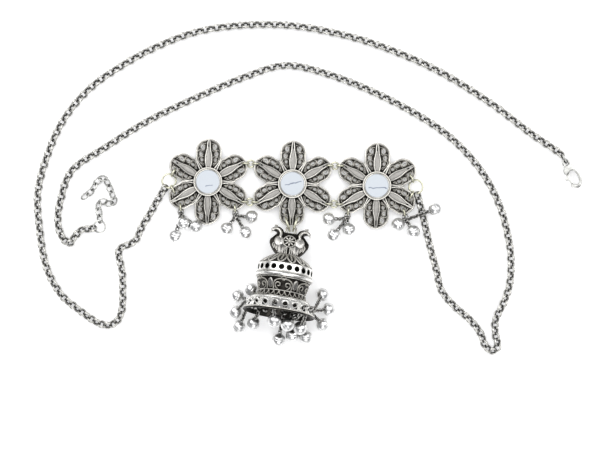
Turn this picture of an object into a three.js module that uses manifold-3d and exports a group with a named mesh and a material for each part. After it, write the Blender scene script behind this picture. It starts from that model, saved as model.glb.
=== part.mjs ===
// A waist chain: three pierced flower plaques with mirrors, two long chains, clasp, extender and bell drop.
// Millimetres, +Z up. The origin is the centre of the flat foot under the middle flower.
import * as THREE from 'three';
import { mergeVertices } from 'three/addons/utils/BufferGeometryUtils.js';
import Module from 'manifold-3d';

const wasm = await Module();
wasm.setup();

// Flower plaques
const ROW_TURN = -1.4;
const PETALS = 6;
const PETAL_REACH = 19.4;
const PETAL_WIDTH = 0.562 * PETAL_REACH;
const TIP_GAP = 4.2;
const FLOWER_PITCH = 2 * PETAL_REACH * Math.cos(Math.PI / PETALS) + TIP_GAP;
const NOTCH_REACH = 0.588 * PETAL_REACH;
const PLATE = 1.0;
const TIP_HEIGHT = 2.1;
const ROOT_RISE = 0.7;
const RIB_RISE = 0.5;
const LEAF_WIDTH = 3.6;
const RIB_WIDTH = 0.6;
// Bezel cup and mirror
const BEZEL_WIDTH = 12.8;
const BEZEL_TOP = 4.6;
const BEZEL_WALL = 0.9;
const FOOT_WIDTH = 10.0;
const MIRROR_THICK = 0.9;
const SEAT_GAP = 0.3;
const CUP_SIDES = 18;
// Rings
const RING_WIRE = 0.65;
const RING_CLEAR = 0.25;
const RING_SIDES = 10;
const WIRE_SIDES = 5;
const TIP_RING = 3.4;
const SIDE_RING = 3.9;
const JOIN_RING = 6.2;
const NOTCH_CLEAR = 3.05;
const DANGLE_RING = 3.4;
const DROP_WIRE = 0.8;
// Chains
const CHAIN_WIDTH = 3.6;
const CHAIN_SIDES = 8;
const LINK_WIRE = 0.75;
const LINK_SPAN = 3.6;
const LIE = 0.03;
const EXTENDER_WIDTH = 3.0;
// Clasp
const CLASP_LENGTH = 12.4;
const CLASP_WIDTH = 6.4;
const CLASP_THICK = 2.2;
const LEVER_THICK = 0.8;
const LEVER_CLEAR = 0.2;
const RIVET_WIDTH = 1.0;
const EYE_HOLE = 2.2;
const EYE_WALL = 0.8;
// Balls
const BALL_WIDTH = 6.0;
const STUB_WIRE = 0.9;
const STUB_SIDES = 5;
// Bell
const BELL_TURN = 8.6;
const BELL_LENGTH = 26.6;
const FLANGE_WIDTH = 32.0;
const BAND_WIDTH = 24.0;
const BELL_SIDES = 20;
const BAND_HOLES = 20;
const BAND_HOLE = 2.4;
const FLANGE_HOLES = 20;
const FLANGE_HOLE = 2.4;
const HANGER_LENGTH = 11.0;
const HANGER_THICK = 1.8;
const LOOP_WIDTH = 5.6;
const LOOP_WIRE = 1.0;
const LOOP_DROP = 1.5;
const LOOP_PLACE = new THREE.Vector3(-0.5, -PETAL_REACH - LOOP_DROP, 5.2);

// Hand-chosen points of the chains, x and y on the surface, for a row of this half length
const ROUTE_ROW = 57.2;
const SPREAD = (FLOWER_PITCH + PETAL_REACH) / ROUTE_ROW;
const ROUTES = {
  left: [[-58.0, -3.8], [-61.0, -8.1], [-63.7, -13.1], [-67.4, -19.0], [-70.4, -25.4], [-74.4, -27.6],
    [-77.6, -29.2], [-77.9, -32.4], [-76.4, -39.2], [-76.1, -48.0], [-76.4, -56.2], [-78.4, -61.2],
    [-82.2, -63.4], [-87.7, -62.1], [-97.0, -55.6], [-104.2, -49.1], [-110.3, -37.6], [-113.4, -20.7],
    [-114.2, -3.8], [-109.6, 13.8], [-102.2, 29.5], [-90.7, 43.0], [-76.0, 53.4], [-60.5, 61.7],
    [-43.7, 68.0], [-26.3, 70.9], [-6.2, 71.4], [11.4, 69.3], [34.8, 63.5], [62.7, 52.1], [88.0, 36.9],
    [106.9, 22.7], [119.0, 14.6]],
  right: [[56.9, -6.2], [59.2, -17.1], [61.9, -28.7], [64.6, -38.6], [66.8, -47.7], [72.7, -54.9],
    [79.9, -61.2], [84.4, -67.0], [86.4, -72.4], [89.6, -75.0], [92.2, -72.8], [91.2, -68.0],
    [91.1, -61.2], [94.7, -53.6], [97.4, -45.5], [98.1, -36.5], [97.4, -27.0], [93.4, -10.8],
    [85.3, 5.0], [73.1, 18.9], [58.3, 29.7], [36.9, 41.0], [14.4, 49.7], [-3.4, 53.1], [-20.7, 48.2],
    [-43.2, 38.7], [-64.5, 28.4], [-84.7, 15.9], [-99.0, 5.9], [-104.1, -7.7], [-105.2, -17.4],
    [-103.2, -24.0], [-100.0, -26.6], [-97.6, -23.6], [-94.6, -20.6], [-91.4, -20.2]],
  extender: [[-86.4, -13.9], [-87.1, -11.6], [-86.9, -9.2], [-84.8, -7.9], [-82.3, -8.8], [-80.3, -8.6],
    [-80.6, -5.4], [-82.2, -1.5], [-83.9, 2.0], [-86.3, 2.4], [-88.4, -0.4], [-90.9, -3.9], [-93.1, -5.5]],
};

const SILVER = { color: 0x9a978f, roughness: 0.42, metalness: 1.0 };
const BRIGHT = { color: 0xd8d8d2, roughness: 0.25, metalness: 1.0 };
const PALE = { color: 0xe3e3cf, roughness: 0.3, metalness: 1.0 };
const MIRROR = { color: 0xe1e8f5, roughness: 0.05, metalness: 1.0 };

const group = new THREE.Group();
const up = new THREE.Vector3(0, 0, 1);
const vec = (x, y, z = 0) => new THREE.Vector3(x, y, z);
const spread = (x, y, z = 0) => vec(x * SPREAD, y * SPREAD, z);
const turn = (point, degrees) => point.clone().applyAxisAngle(up, THREE.MathUtils.degToRad(degrees));

// A closed geometry as a solid whose faces point out
function toSolid(geometry) {
  const bare = (geometry.index ? geometry.toNonIndexed() : geometry.clone());
  bare.deleteAttribute('normal');
  bare.deleteAttribute('uv');
  const merged = mergeVertices(bare, 1e-4);
  const points = merged.attributes.position.array;
  const faces = [];
  let volume = 0;
  for (let i = 0; i < merged.index.count; i += 3) {
    const [a, b, c] = [0, 1, 2].map((k) => merged.index.getX(i + k));
    if (a !== b && b !== c && a !== c) {
      faces.push(a, b, c);
      const [p, q, r] = [a, b, c].map((k) => vec(points[3 * k], points[3 * k + 1], points[3 * k + 2]));
      volume += p.dot(q.cross(r));
    }
  }
  if (volume < 0) {
    faces.reverse();
  }
  const triVerts = new Uint32Array(faces);
  const vertProperties = new Float32Array(points);
  return new wasm.Manifold(new wasm.Mesh({ numProp: 3, vertProperties, triVerts }));
}

function toGeometry(solid) {
  const mesh = solid.getMesh();
  const geometry = new THREE.BufferGeometry();
  geometry.setAttribute('position', new THREE.BufferAttribute(mesh.vertProperties, 3));
  geometry.setIndex(new THREE.BufferAttribute(mesh.triVerts, 1));
  geometry.computeVertexNormals();
  return geometry;
}

function add(name, finish, solid) {
  const mesh = new THREE.Mesh(toGeometry(solid), new THREE.MeshStandardMaterial(finish));
  mesh.name = name;
  group.add(mesh);
}

const join = (solids) => solids.reduce((whole, solid) => whole.add(solid));
const cut = (solid, tools) => tools.reduce((whole, tool) => whole.subtract(tool), solid);

function slab(outline, bottom, top, holes = []) {
  const shape = new THREE.Shape(outline);
  holes.forEach((hole) => shape.holes.push(new THREE.Path(hole)));
  const geometry = new THREE.ExtrudeGeometry(shape, { depth: top - bottom, bevelEnabled: false });
  return geometry.translate(0, 0, bottom);
}

function oval(x, y, width, length, sides, degrees = 0) {
  return Array.from({ length: sides }, (_, i) => {
    const a = (2 * Math.PI * (i + 0.5)) / sides;
    const p = turn(vec((width / 2) * Math.cos(a), (length / 2) * Math.sin(a)), degrees);
    return new THREE.Vector2(x + p.x, y + p.y);
  });
}

function lathe(profile, sides) {
  const points = profile.map(([r, z]) => new THREE.Vector2(r, z));
  return new THREE.LatheGeometry(points, sides).rotateX(Math.PI / 2);
}

// A ring whose wire passes through two places, turned about the line between them away from upright
function ringThrough(from, to, wire, { flat = false, height = null } = {}) {
  const span = from.distanceTo(to);
  const middle = from.clone().add(to).multiplyScalar(0.5);
  const along = to.clone().sub(from).normalize();
  const side = flat ? up.clone().cross(along).normalize() : up.clone().addScaledVector(along, -along.z);
  const normal = along.clone().cross(side.normalize());
  const torus = new THREE.TorusGeometry(span / 2, wire / 2, WIRE_SIDES, RING_SIDES);
  if (height !== null) {
    middle.z = height;
  }
  const place = new THREE.Matrix4().makeBasis(along, side, normal).setPosition(middle);
  return toSolid(torus.applyMatrix4(place));
}

// A curve that has one step for each of its chosen points
class Route extends THREE.CatmullRomCurve3 {
  getPointAt(u, target) {
    return this.getPoint(u, target);
  }

  getTangentAt(u, target) {
    return this.getTangent(u, target);
  }
}

function wireAlong(points, width, sides, steps = points.length - 1) {
  const turned = Math.PI / sides;
  const section = new THREE.Shape(Array.from({ length: sides }, (_, i) => {
    const a = turned + (2 * Math.PI * i) / sides;
    return new THREE.Vector2((width / 2) * Math.cos(a), (width / 2) * Math.sin(a));
  }));
  const extrudePath = new Route(points, false, 'centripetal');
  return toSolid(new THREE.ExtrudeGeometry(section, { steps, bevelEnabled: false, extrudePath }));
}

// Flower plaques: places in a petal are shares of its reach and half width
const OUTLINE = [
  { along: 0.71, across: 1.0 },
  { along: 0.82, across: 0.83 },
  { along: 0.93, across: 0.46 },
];
const LEAF = [
  { along: 0.31, across: 0.4 },
  { along: 0.48, across: 0.95 },
  { along: 0.64, across: 0.92 },
  { along: 0.835, across: 0.4 },
];
const SCROLL_HOLES = [
  { along: 0.80, across: 0.47, width: 1.6, length: 2.4, lean: 12 },
  { along: 0.64, across: 0.64, width: 1.5, length: 2.2, lean: 0 },
];
const SCROLL_SIDES = 5;
const SLOT = { along: 0.893, width: 1.3, length: 1.5 };
const SLOT_SIDES = 6;
const half = PETAL_WIDTH / 2;
const inPetal = (along, across, k) => {
  const p = turn(vec(along * PETAL_REACH, across * half), 30 + (360 / PETALS) * k);
  return new THREE.Vector2(p.x, p.y);
};
const FLOWERS = { left: -1, centre: 0, right: 1 };
const flowerCentre = (name) => turn(vec(FLOWERS[name] * FLOWER_PITCH, 0), ROW_TURN);
const plateHeight = (r) => {
  const share = Math.min(1, Math.max(0, (PETAL_REACH - r) / (PETAL_REACH - BEZEL_WIDTH / 2)));
  return TIP_HEIGHT - PLATE / 2 + ROOT_RISE * share;
};

function dome(geometry) {
  const at = geometry.attributes.position;
  for (let i = 0; i < at.count; i += 1) {
    at.setZ(i, at.getZ(i) + plateHeight(Math.hypot(at.getX(i), at.getY(i))));
  }
  return geometry;
}

function flowerOutline() {
  const points = [];
  for (let k = 0; k < PETALS; k += 1) {
    const notch = turn(vec(NOTCH_REACH, 0), (360 / PETALS) * k);
    points.push(new THREE.Vector2(notch.x, notch.y));
    OUTLINE.forEach((row) => points.push(inPetal(row.along, -row.across, k)));
    points.push(inPetal(1, 0, k));
    [...OUTLINE].reverse().forEach((row) => points.push(inPetal(row.along, row.across, k)));
  }
  return points;
}

function leafRibs(k) {
  const edge = (rows, narrower) => {
    const share = (row) => ((row.across * LEAF_WIDTH) / 2 - narrower) / half;
    const right = rows.map((row) => inPetal(row.along, -share(row), k));
    const left = [...rows].reverse().map((row) => inPetal(row.along, share(row), k));
    return [...right, ...left];
  };
  const last = LEAF[LEAF.length - 1].along - RIB_WIDTH / PETAL_REACH;
  const first = LEAF[0].along + RIB_WIDTH / PETAL_REACH;
  const inner = [inPetal(first, 0, k), ...edge(LEAF.slice(1, -1), RIB_WIDTH)];
  inner.splice(LEAF.length - 1, 0, inPetal(last, 0, k));
  return slab(edge(LEAF, 0), PLATE / 2, PLATE + RIB_RISE, [inner]);
}

function flower(name) {
  const holes = [];
  for (let k = 0; k < PETALS; k += 1) {
    const angle = 30 + (360 / PETALS) * k - 90;
    SCROLL_HOLES.forEach((row) => [-1, 1].forEach((side) => {
      const p = inPetal(row.along, side * row.across, k);
      holes.push(oval(p.x, p.y, row.width, row.length, SCROLL_SIDES, angle + side * row.lean));
    }));
    if (k % 3 !== 1) {
      const p = inPetal(SLOT.along, 0, k);
      holes.push(oval(p.x, p.y, SLOT.width, SLOT.length, SLOT_SIDES, angle));
    }
  }
  const ribs = Array.from({ length: PETALS }, (_, k) => toSolid(leafRibs(k)));
  const petals = join([toSolid(slab(flowerOutline(), 0, PLATE, holes)), ...ribs]);
  const bezel = BEZEL_WIDTH / 2;
  const root = plateHeight(bezel);
  const floor = BEZEL_TOP - SEAT_GAP - MIRROR_THICK - SEAT_GAP;
  const cup = toSolid(lathe([
    [0, 0], [FOOT_WIDTH / 2, 0], [FOOT_WIDTH / 2, root + PLATE / 3], [bezel, root + PLATE / 3],
    [bezel, BEZEL_TOP - 0.2], [bezel - 0.25, BEZEL_TOP], [bezel - BEZEL_WALL + 0.2, BEZEL_TOP],
    [bezel - BEZEL_WALL, floor], [0, floor],
  ], CUP_SIDES));
  const centre = flowerCentre(name);
  const whole = toSolid(dome(toGeometry(petals))).add(cup);
  return whole.rotate([0, 0, ROW_TURN]).translate([centre.x, centre.y, 0]);
}

function mirror(name) {
  const radius = BEZEL_WIDTH / 2 - BEZEL_WALL - SEAT_GAP;
  const top = BEZEL_TOP - SEAT_GAP;
  const disc = lathe([[0, top - MIRROR_THICK], [radius, top - MIRROR_THICK], [radius, top - 0.2],
    [radius - 0.2, top], [0, top]], CUP_SIDES);
  const centre = flowerCentre(name);
  return toSolid(disc).translate([centre.x, centre.y, 0]);
}

Object.keys(FLOWERS).forEach((name) => {
  add(`flower_${name}`, SILVER, flower(name));
  add(`mirror_${name}`, MIRROR, mirror(name));
});

// Places in a flower's plate where a ring's wire passes
function platePoint(name, along, across, k) {
  const flat = inPetal(along, across, k);
  const centre = flowerCentre(name);
  const p = turn(vec(flat.x, flat.y), ROW_TURN).add(centre);
  return vec(p.x, p.y, TIP_HEIGHT);
}
const INNER_END = SLOT.along - 0.008;
const RING_GRIP = RING_WIRE + RING_CLEAR;
const towards = (from, to, length) => from.clone().addScaledVector(to.clone().sub(from).normalize(), length);

// Three rings between facing petal tips
[['left', 'centre'], ['centre', 'right']].forEach(([west, east]) => {
  [['upper', 0, 2], ['lower', 5, 3]].forEach(([level, kWest, kEast]) => {
    const start = platePoint(west, INNER_END, 0, kWest);
    const end = platePoint(east, INNER_END, 0, kEast);
    const first = towards(start, end, TIP_RING);
    const last = towards(end, start, TIP_RING);
    const label = `${west}_${level}`;
    add(`ring_${label}_a`, PALE, ringThrough(start, first, RING_WIRE));
    const middle = [towards(first, start, RING_GRIP), towards(last, end, RING_GRIP)];
    add(`ring_${label}_b`, PALE, ringThrough(...middle, RING_WIRE, { flat: true }));
    add(`ring_${label}_c`, PALE, ringThrough(last, end, RING_WIRE));
  });
});

// At each end of the row two small rings hang on a larger one, which takes the chain
const SIDE_HOLE = SCROLL_HOLES[0];
const SIDE_RING_HEIGHT = (SIDE_RING + RING_WIRE) / 2 + LIE;
function sideRings(name, sign, kUpper, kLower) {
  const holes = [platePoint(name, SIDE_HOLE.along, sign * -SIDE_HOLE.across, kUpper),
    platePoint(name, SIDE_HOLE.along, sign * SIDE_HOLE.across, kLower)];
  const centre = flowerCentre(name);
  const outward = turn(vec(sign, 0), ROW_TURN);
  const out = NOTCH_REACH + NOTCH_CLEAR + JOIN_RING / 2;
  const join0 = centre.clone().addScaledVector(outward, out).setZ(TIP_HEIGHT);
  const far = holes.map((hole) => towards(hole, join0, SIDE_RING));
  ['upper', 'lower'].forEach((level, i) => {
    const ring = ringThrough(holes[i], far[i], RING_WIRE, { height: SIDE_RING_HEIGHT });
    add(`ring_side_${name}_${level}`, PALE, ring);
  });
  const across = outward.clone().multiplyScalar(JOIN_RING / 2);
  const ends = [join0.clone().sub(across), join0.clone().add(across)];
  add(`ring_side_${name}_join`, PALE, ringThrough(...ends, RING_WIRE, { flat: true }));
  return join0;
}
const joinLeft = sideRings('left', -1, 2, 3);
const joinRight = sideRings('right', 1, 0, 5);

// A chain is a tube along its route with a real link on an end
const laid = (points, width) => points.map(([x, y]) => spread(x, y, width / 2 + LIE));
const LINK_HEIGHT = (LINK_SPAN + LINK_WIRE) / 2 + LIE;
function endLink(at, to, flat) {
  const height = flat ? CHAIN_WIDTH / 2 : LINK_HEIGHT;
  return ringThrough(at, towards(at, to, LINK_SPAN), LINK_WIRE, { flat, height });
}
const JOIN_GRIP = (JOIN_RING - RING_WIRE - LINK_WIRE) / 2 - RING_CLEAR;
// The first link is held by a join ring, and the last one points at its aim
function chain(route, joinRing, aim, flat) {
  const points = laid(route, CHAIN_WIDTH);
  const joint = joinRing.clone().setZ(points[0].z);
  points[0] = towards(joint, points[1], JOIN_GRIP + LINK_SPAN);
  const tube = wireAlong(points, CHAIN_WIDTH, CHAIN_SIDES);
  return join([tube, endLink(points[0], joint, false), endLink(points[points.length - 1], aim, flat)]);
}
const lastOf = (route) => laid(route, CHAIN_WIDTH)[route.length - 1];
const CLASP_AIM = spread(122.3, 11.6, CHAIN_WIDTH / 2 + LIE);
const EXTENDER_AIM = spread(-80, -18.6, CHAIN_WIDTH / 2 + LIE);
add('chain_left', SILVER, chain(ROUTES.left, joinLeft, CLASP_AIM, true));
add('chain_right', SILVER, chain(ROUTES.right, joinRight, EXTENDER_AIM, false));

// Extender: its end ring lies flat in the right chain's last link
const IN_END_LINK = LINK_SPAN - LINK_WIRE / 2 - RING_GRIP;
const rightEnd = towards(lastOf(ROUTES.right), EXTENDER_AIM, IN_END_LINK).setZ(TIP_HEIGHT);
const extenderRingEnd = spread(-84.0, -18.4, TIP_HEIGHT);
add('extender_ring', BRIGHT, ringThrough(rightEnd, extenderRingEnd, RING_WIRE, { flat: true }));
const extenderPoints = laid(ROUTES.extender, EXTENDER_WIDTH);
const extenderRingMiddle = rightEnd.clone().lerp(extenderRingEnd, 0.5);
const extenderGrip = rightEnd.distanceTo(extenderRingEnd) / 2 - RING_GRIP - 0.1;
const extenderHook = towards(extenderRingMiddle, extenderPoints[0].clone().setZ(TIP_HEIGHT), extenderGrip);
add('extender_chain', BRIGHT, join([
  wireAlong(extenderPoints, EXTENDER_WIDTH, CHAIN_SIDES),
  ringThrough(extenderHook, extenderPoints[0], RING_WIRE, { height: TIP_HEIGHT }),
]));

// Clasp: body with a hooked nose, a forked heel with its rivet, and the lever between
const claspRingStart = towards(lastOf(ROUTES.left), CLASP_AIM, IN_END_LINK);
const CLASP_LEAN = 28.6;
const claspDirection = turn(vec(0, -1), CLASP_LEAN);
const CLASP_RING = 4.2;
const eye = claspRingStart.clone().addScaledVector(claspDirection, CLASP_RING);
const claspRingHeight = (CLASP_RING + RING_WIRE) / 2 + LIE;
add('clasp_ring', PALE, ringThrough(claspRingStart, eye, RING_WIRE, { height: claspRingHeight }));
const CLASP_BASE = 1.2;
const claspTurn = THREE.MathUtils.radToDeg(Math.atan2(claspDirection.y, claspDirection.x)) - 90;
const placeClasp = (solid) => solid.rotate([0, 0, claspTurn]).translate([eye.x, eye.y, CLASP_BASE]);
// Shares of the clasp's length (along) and half width (across), round the claw from the eye
const CLAW = [
  [0.07, -0.42], [0.24, -0.85], [0.50, -1.0], [0.74, -0.92], [0.92, -0.5], [1.0, 0.0], [0.97, 0.5],
  [0.88, 0.86], [0.79, 0.92], [0.77, 0.62], [0.84, 0.2], [0.86, -0.1], [0.80, -0.4], [0.66, -0.56],
  [0.50, -0.56], [0.38, -0.42], [0.33, 0.0], [0.38, 0.5], [0.37, 0.86], [0.26, 0.9], [0.14, 0.62],
  [0.07, 0.42],
];
const inClasp = ([along, across]) => new THREE.Vector2((across * CLASP_WIDTH) / 2, along * CLASP_LENGTH);
const PIVOT = { along: 0.28, across: 0.42 };
const pivot = inClasp([PIVOT.along, PIVOT.across]);
const post = (width, low, high, at, sides) => toSolid(slab(oval(at.x, at.y, width, width, sides), low, high));
const claw = toSolid(slab(CLAW.map(inClasp), 0, CLASP_THICK));
const eyeDisc = post(EYE_HOLE + 2 * EYE_WALL, 0, CLASP_THICK, vec(0, 0), 12);
const eyeHole = post(EYE_HOLE, -1, CLASP_THICK + 1, vec(0, 0), 12);
const slotLow = (CLASP_THICK - LEVER_THICK) / 2 - LEVER_CLEAR;
const slotHigh = (CLASP_THICK + LEVER_THICK) / 2 + LEVER_CLEAR;
const SLOT_AREA = [[0.40, -0.30], [0.155, -0.30], [0.155, 1.3], [0.40, 1.3]];
const slotCut = toSolid(slab(SLOT_AREA.map(inClasp), slotLow, slotHigh));
const rivet = post(RIVET_WIDTH, 0.1, CLASP_THICK - 0.1, pivot, 8);
add('clasp_body', BRIGHT, placeClasp(cut(claw.add(eyeDisc), [eyeHole, slotCut]).add(rivet)));
const LEVER = [
  [0.225, 0.22], [0.225, 0.66], [0.33, 0.8], [0.45, 0.86], [0.50, 1.22], [0.57, 1.22], [0.60, 0.86],
  [0.745, 0.80], [0.745, 0.48], [0.45, 0.42], [0.34, 0.16],
];
const leverLow = (CLASP_THICK - LEVER_THICK) / 2;
const leverHigh = (CLASP_THICK + LEVER_THICK) / 2;
const leverBore = post(RIVET_WIDTH + 2 * LEVER_CLEAR, -1, CLASP_THICK + 1, pivot, 10);
const leverPlate = toSolid(slab(LEVER.map(inClasp), leverLow, leverHigh));
add('clasp_lever', BRIGHT, placeClasp(leverPlate.subtract(leverBore)));

// Balls: a ball hangs on a stub of fine chain, here one wire along its path
const ball = (at) => toSolid(new THREE.IcosahedronGeometry(BALL_WIDTH / 2, 1)).translate([at.x, at.y, at.z]);

// Clusters of three under the outer flowers; the small ring hangs in a petal's scroll hole
const BALL_HEIGHT = BALL_WIDTH / 2 + LIE;
const CLUSTERS = {
  1: { flower: 'left', k: 3, side: 1, balls: [[-48.7, -17.6], [-43.2, -19.2], [-52.4, -23.4]] },
  2: { flower: 'left', k: 5, side: -1, balls: [[-29.4, -20.1], [-20.9, -22.0], [-18.2, -14.9]] },
  3: { flower: 'right', k: 3, side: 1, balls: [[16.2, -15.8], [18.4, -23.0], [25.4, -20.5]] },
  4: { flower: 'right', k: 5, side: -1, balls: [[47.3, -18.2], [54.2, -21.4], [63.9, -11.4]], overChain: 2 },
};
const UNDER_RINGS = TIP_HEIGHT + 0.6;
const OVER_CHAIN = CHAIN_WIDTH + STUB_WIRE;
const TAIL_LINK = 2.6;
const BALL_SINK = 0.3;
const DANGLE_LEAN = 0.35;
Object.entries(CLUSTERS).forEach(([label, { flower: name, k, side, balls, overChain }]) => {
  const hole = platePoint(name, SIDE_HOLE.along, side * SIDE_HOLE.across, k);
  const sum = balls.reduce((total, [x, y]) => total.add(spread(x, y)), vec(0, 0));
  const centre = sum.divideScalar(balls.length).setZ(TIP_HEIGHT);
  const inward = centre.clone().sub(hole).setZ(0).normalize();
  const away = turn(vec(0, -1), ROW_TURN).lerp(inward, DANGLE_LEAN).normalize();
  const outer = hole.clone().addScaledVector(away, DANGLE_RING);
  add(`ring_dangle_${label}`, PALE, ringThrough(hole, outer, RING_WIRE));
  const start = outer.clone().addScaledVector(away, -RING_GRIP);
  const tail = start.clone().addScaledVector(away, TAIL_LINK);
  const pieces = [ringThrough(start, tail, RING_WIRE, { flat: true })];
  balls.forEach(([x, y], i) => {
    const at = spread(x, y, BALL_HEIGHT);
    const over = i === overChain ? OVER_CHAIN : UNDER_RINGS;
    const mid = tail.clone().lerp(at, 0.5).setZ(over + 0.2);
    const edge = towards(at, tail.clone().setZ(at.z), BALL_WIDTH / 2 - BALL_SINK);
    const near = edge.setZ(Math.min(over, at.z + 1));
    pieces.push(wireAlong([tail, mid, near], STUB_WIRE, STUB_SIDES), ball(at));
  });
  add(`cluster_${label}`, BRIGHT, join(pieces));
});

// Bell: local z runs from the dome's apex to the mouth, local y is the upper side
// Shares of the bell's length and of the flange's half width, outside and then inside
const BAND_SHARE = 0.79;
const SLOPE = Math.asin((FLANGE_WIDTH - BAND_WIDTH) / 2 / (BAND_SHARE * BELL_LENGTH));
const axisAt = (pitch) => {
  const flat = turn(vec(0, -1), -BELL_TURN);
  return flat.multiplyScalar(Math.cos(pitch)).setZ(Math.sin(pitch));
};
function frameAt(place, pitch) {
  const along = axisAt(pitch);
  const right = turn(vec(1, 0), -BELL_TURN);
  return new THREE.Matrix4().makeBasis(right, along.clone().cross(right), along).setPosition(place);
}
const mouthHeight = (FLANGE_WIDTH / 2) * Math.cos(SLOPE) + 0.02 * BELL_LENGTH * Math.sin(SLOPE) + LIE;
const apexHeight = mouthHeight - BELL_LENGTH * Math.sin(SLOPE);
const apexFlat = LOOP_PLACE.clone().addScaledVector(axisAt(0), HANGER_LENGTH);
const apex = vec(apexFlat.x, apexFlat.y, apexHeight);
const bellFrame = frameAt(apex, SLOPE);
const hangerFrame = frameAt(LOOP_PLACE, Math.atan2(apexHeight - LOOP_PLACE.z, HANGER_LENGTH));
const BELL_OUTSIDE = [
  [0.0, 0.20], [0.05, 0.42], [0.12, 0.60], [0.20, 0.735], [0.205, 0.75], [0.35, 0.75], [0.36, 0.778],
  [0.41, 0.778], [0.43, 0.735], [0.65, 0.63], [0.68, 0.67], [0.74, 0.68], [0.76, 0.775], [0.98, 1.0],
  [1.0, 0.98],
];
const BELL_INSIDE = [[0.98, 0.94], [0.76, 0.70], [0.65, 0.56], [0.42, 0.66], [0.22, 0.66], [0.05, 0.34]];
const flangeRadius = FLANGE_WIDTH / 2;
const bellPoint = ([t, r]) => [r * flangeRadius, t * BELL_LENGTH];
const CROWN_SHARE = 0.05;
const bellProfile = [
  [0, 0], ...BELL_OUTSIDE.map(bellPoint), ...BELL_INSIDE.map(bellPoint), [0, CROWN_SHARE * BELL_LENGTH],
];
const BAND_MIDDLE = { t: 0.278, r: 0.7 };
const DRILL_LENGTH = 6;
const DRILL_SIDES = 6;
const bandHoles = Array.from({ length: BAND_HOLES }, (_, i) => {
  const geometry = new THREE.CylinderGeometry(BAND_HOLE / 2, BAND_HOLE / 2, DRILL_LENGTH, DRILL_SIDES);
  geometry.translate(0, BAND_MIDDLE.r * flangeRadius, BAND_MIDDLE.t * BELL_LENGTH);
  return toSolid(geometry.rotateZ((2 * Math.PI * (i + 0.5)) / BAND_HOLES));
});
const FLANGE_FLARE = { t: 0.22, r: 0.225 };
const flangeSlope = Math.atan2(FLANGE_FLARE.r * flangeRadius, FLANGE_FLARE.t * BELL_LENGTH);
const HOLE_RING = { t: 0.88, r: 0.875 };
const flangeHoles = Array.from({ length: FLANGE_HOLES }, (_, i) => {
  const geometry = new THREE.CylinderGeometry(FLANGE_HOLE / 2, FLANGE_HOLE / 2, 4, DRILL_SIDES);
  geometry.rotateX(-flangeSlope).translate(0, HOLE_RING.r * flangeRadius, HOLE_RING.t * BELL_LENGTH);
  return toSolid(geometry.rotateZ((2 * Math.PI * (i + 0.5)) / FLANGE_HOLES));
});
// Raised leaves on the dome and upright ribs on the drum
const LEAVES = 8;
const LEAF_SLOPE = Math.atan2(0.2 * BELL_LENGTH, 0.535 * FLANGE_WIDTH / 2);
const leafRelief = Array.from({ length: LEAVES }, (_, i) => {
  const geometry = new THREE.ConeGeometry(1.8, 6.4, 4).scale(1, 1, 0.4);
  geometry.rotateX(LEAF_SLOPE).translate(0, 0.52 * flangeRadius, 0.09 * BELL_LENGTH);
  return toSolid(geometry.rotateZ((2 * Math.PI * i) / LEAVES));
});
const drumRibs = Array.from({ length: LEAVES }, (_, i) => {
  const geometry = new THREE.BoxGeometry(1.5, 1.4, 0.2 * BELL_LENGTH);
  geometry.rotateX(0.28).translate(0, 0.68 * flangeRadius, 0.54 * BELL_LENGTH);
  return toSolid(geometry.rotateZ((2 * Math.PI * (i + 0.5)) / LEAVES));
});
const bellBody = cut(join([toSolid(lathe(bellProfile, BELL_SIDES)), ...leafRelief, ...drumRibs]),
  [...bandHoles, ...flangeHoles]);
// Hanger: two peacocks back to back, half of the outline as shares of its length and half width
const HANGER_WIDTH = 18.0;
const PEACOCK = [
  [0.16, 0.0], [0.16, 0.30], [0.03, 0.42], [-0.06, 0.62], [-0.02, 0.86], [0.10, 1.0], [0.12, 0.78],
  [0.22, 0.66],
  [0.38, 0.80], [0.60, 0.98], [0.86, 0.86], [1.10, 0.62], [1.22, 0.34],
];
const hangerHalf = PEACOCK.map(([t, u]) => new THREE.Vector2((u * HANGER_WIDTH) / 2, t * HANGER_LENGTH));
const otherHalf = hangerHalf.slice(1).reverse().map((p) => new THREE.Vector2(-p.x, p.y));
const hangerOutline = [...hangerHalf, ...otherHalf];
// The outline is drawn across and along, so it is turned up into the hanger's own plane
const upright = new THREE.Matrix4().makeBasis(vec(1, 0, 0), vec(0, 0, 1), vec(0, -1, 0));
const plaque = toSolid(slab(hangerOutline, -HANGER_THICK / 2, HANGER_THICK / 2).applyMatrix4(upright));
const loopRing = new THREE.TorusGeometry((LOOP_WIDTH - LOOP_WIRE) / 2, LOOP_WIRE / 2, WIRE_SIDES + 1, 12);
const rosette = toSolid(lathe([[0, -1.6], [2.2, -1.6], [2.9, -0.6], [2.9, 0.6], [2.2, 1.6], [0, 1.6]], 10)
  .applyMatrix4(upright).translate(0, 0, 0.56 * HANGER_LENGTH));
const hanger = join([plaque, toSolid(loopRing.applyMatrix4(upright)), rosette]);
const placed = (solid, matrix) => solid.transform(matrix.toArray());
const insideOut = [...BELL_INSIDE].reverse().map(bellPoint);
const bellInside = toSolid(lathe([[0, CROWN_SHARE * BELL_LENGTH], ...insideOut,
  [0, 0.97 * BELL_LENGTH]], BELL_SIDES));
add('bell', SILVER, placed(bellBody, bellFrame).add(
  placed(hanger, hangerFrame).subtract(placed(bellInside, bellFrame)),
));

// Two rings carry the bell from the scroll holes of the middle flower's lowest petal
[-1, 1].forEach((side) => {
  const hole = platePoint('centre', SIDE_HOLE.along, side * SIDE_HOLE.across, 4);
  const grip = LOOP_PLACE.clone().add(vec(side * 0.85, 0.1, 0.1));
  const label = side < 0 ? 'left' : 'right';
  add(`ring_drop_${label}`, PALE, ringThrough(hole, grip, DROP_WIRE));
});

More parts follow.
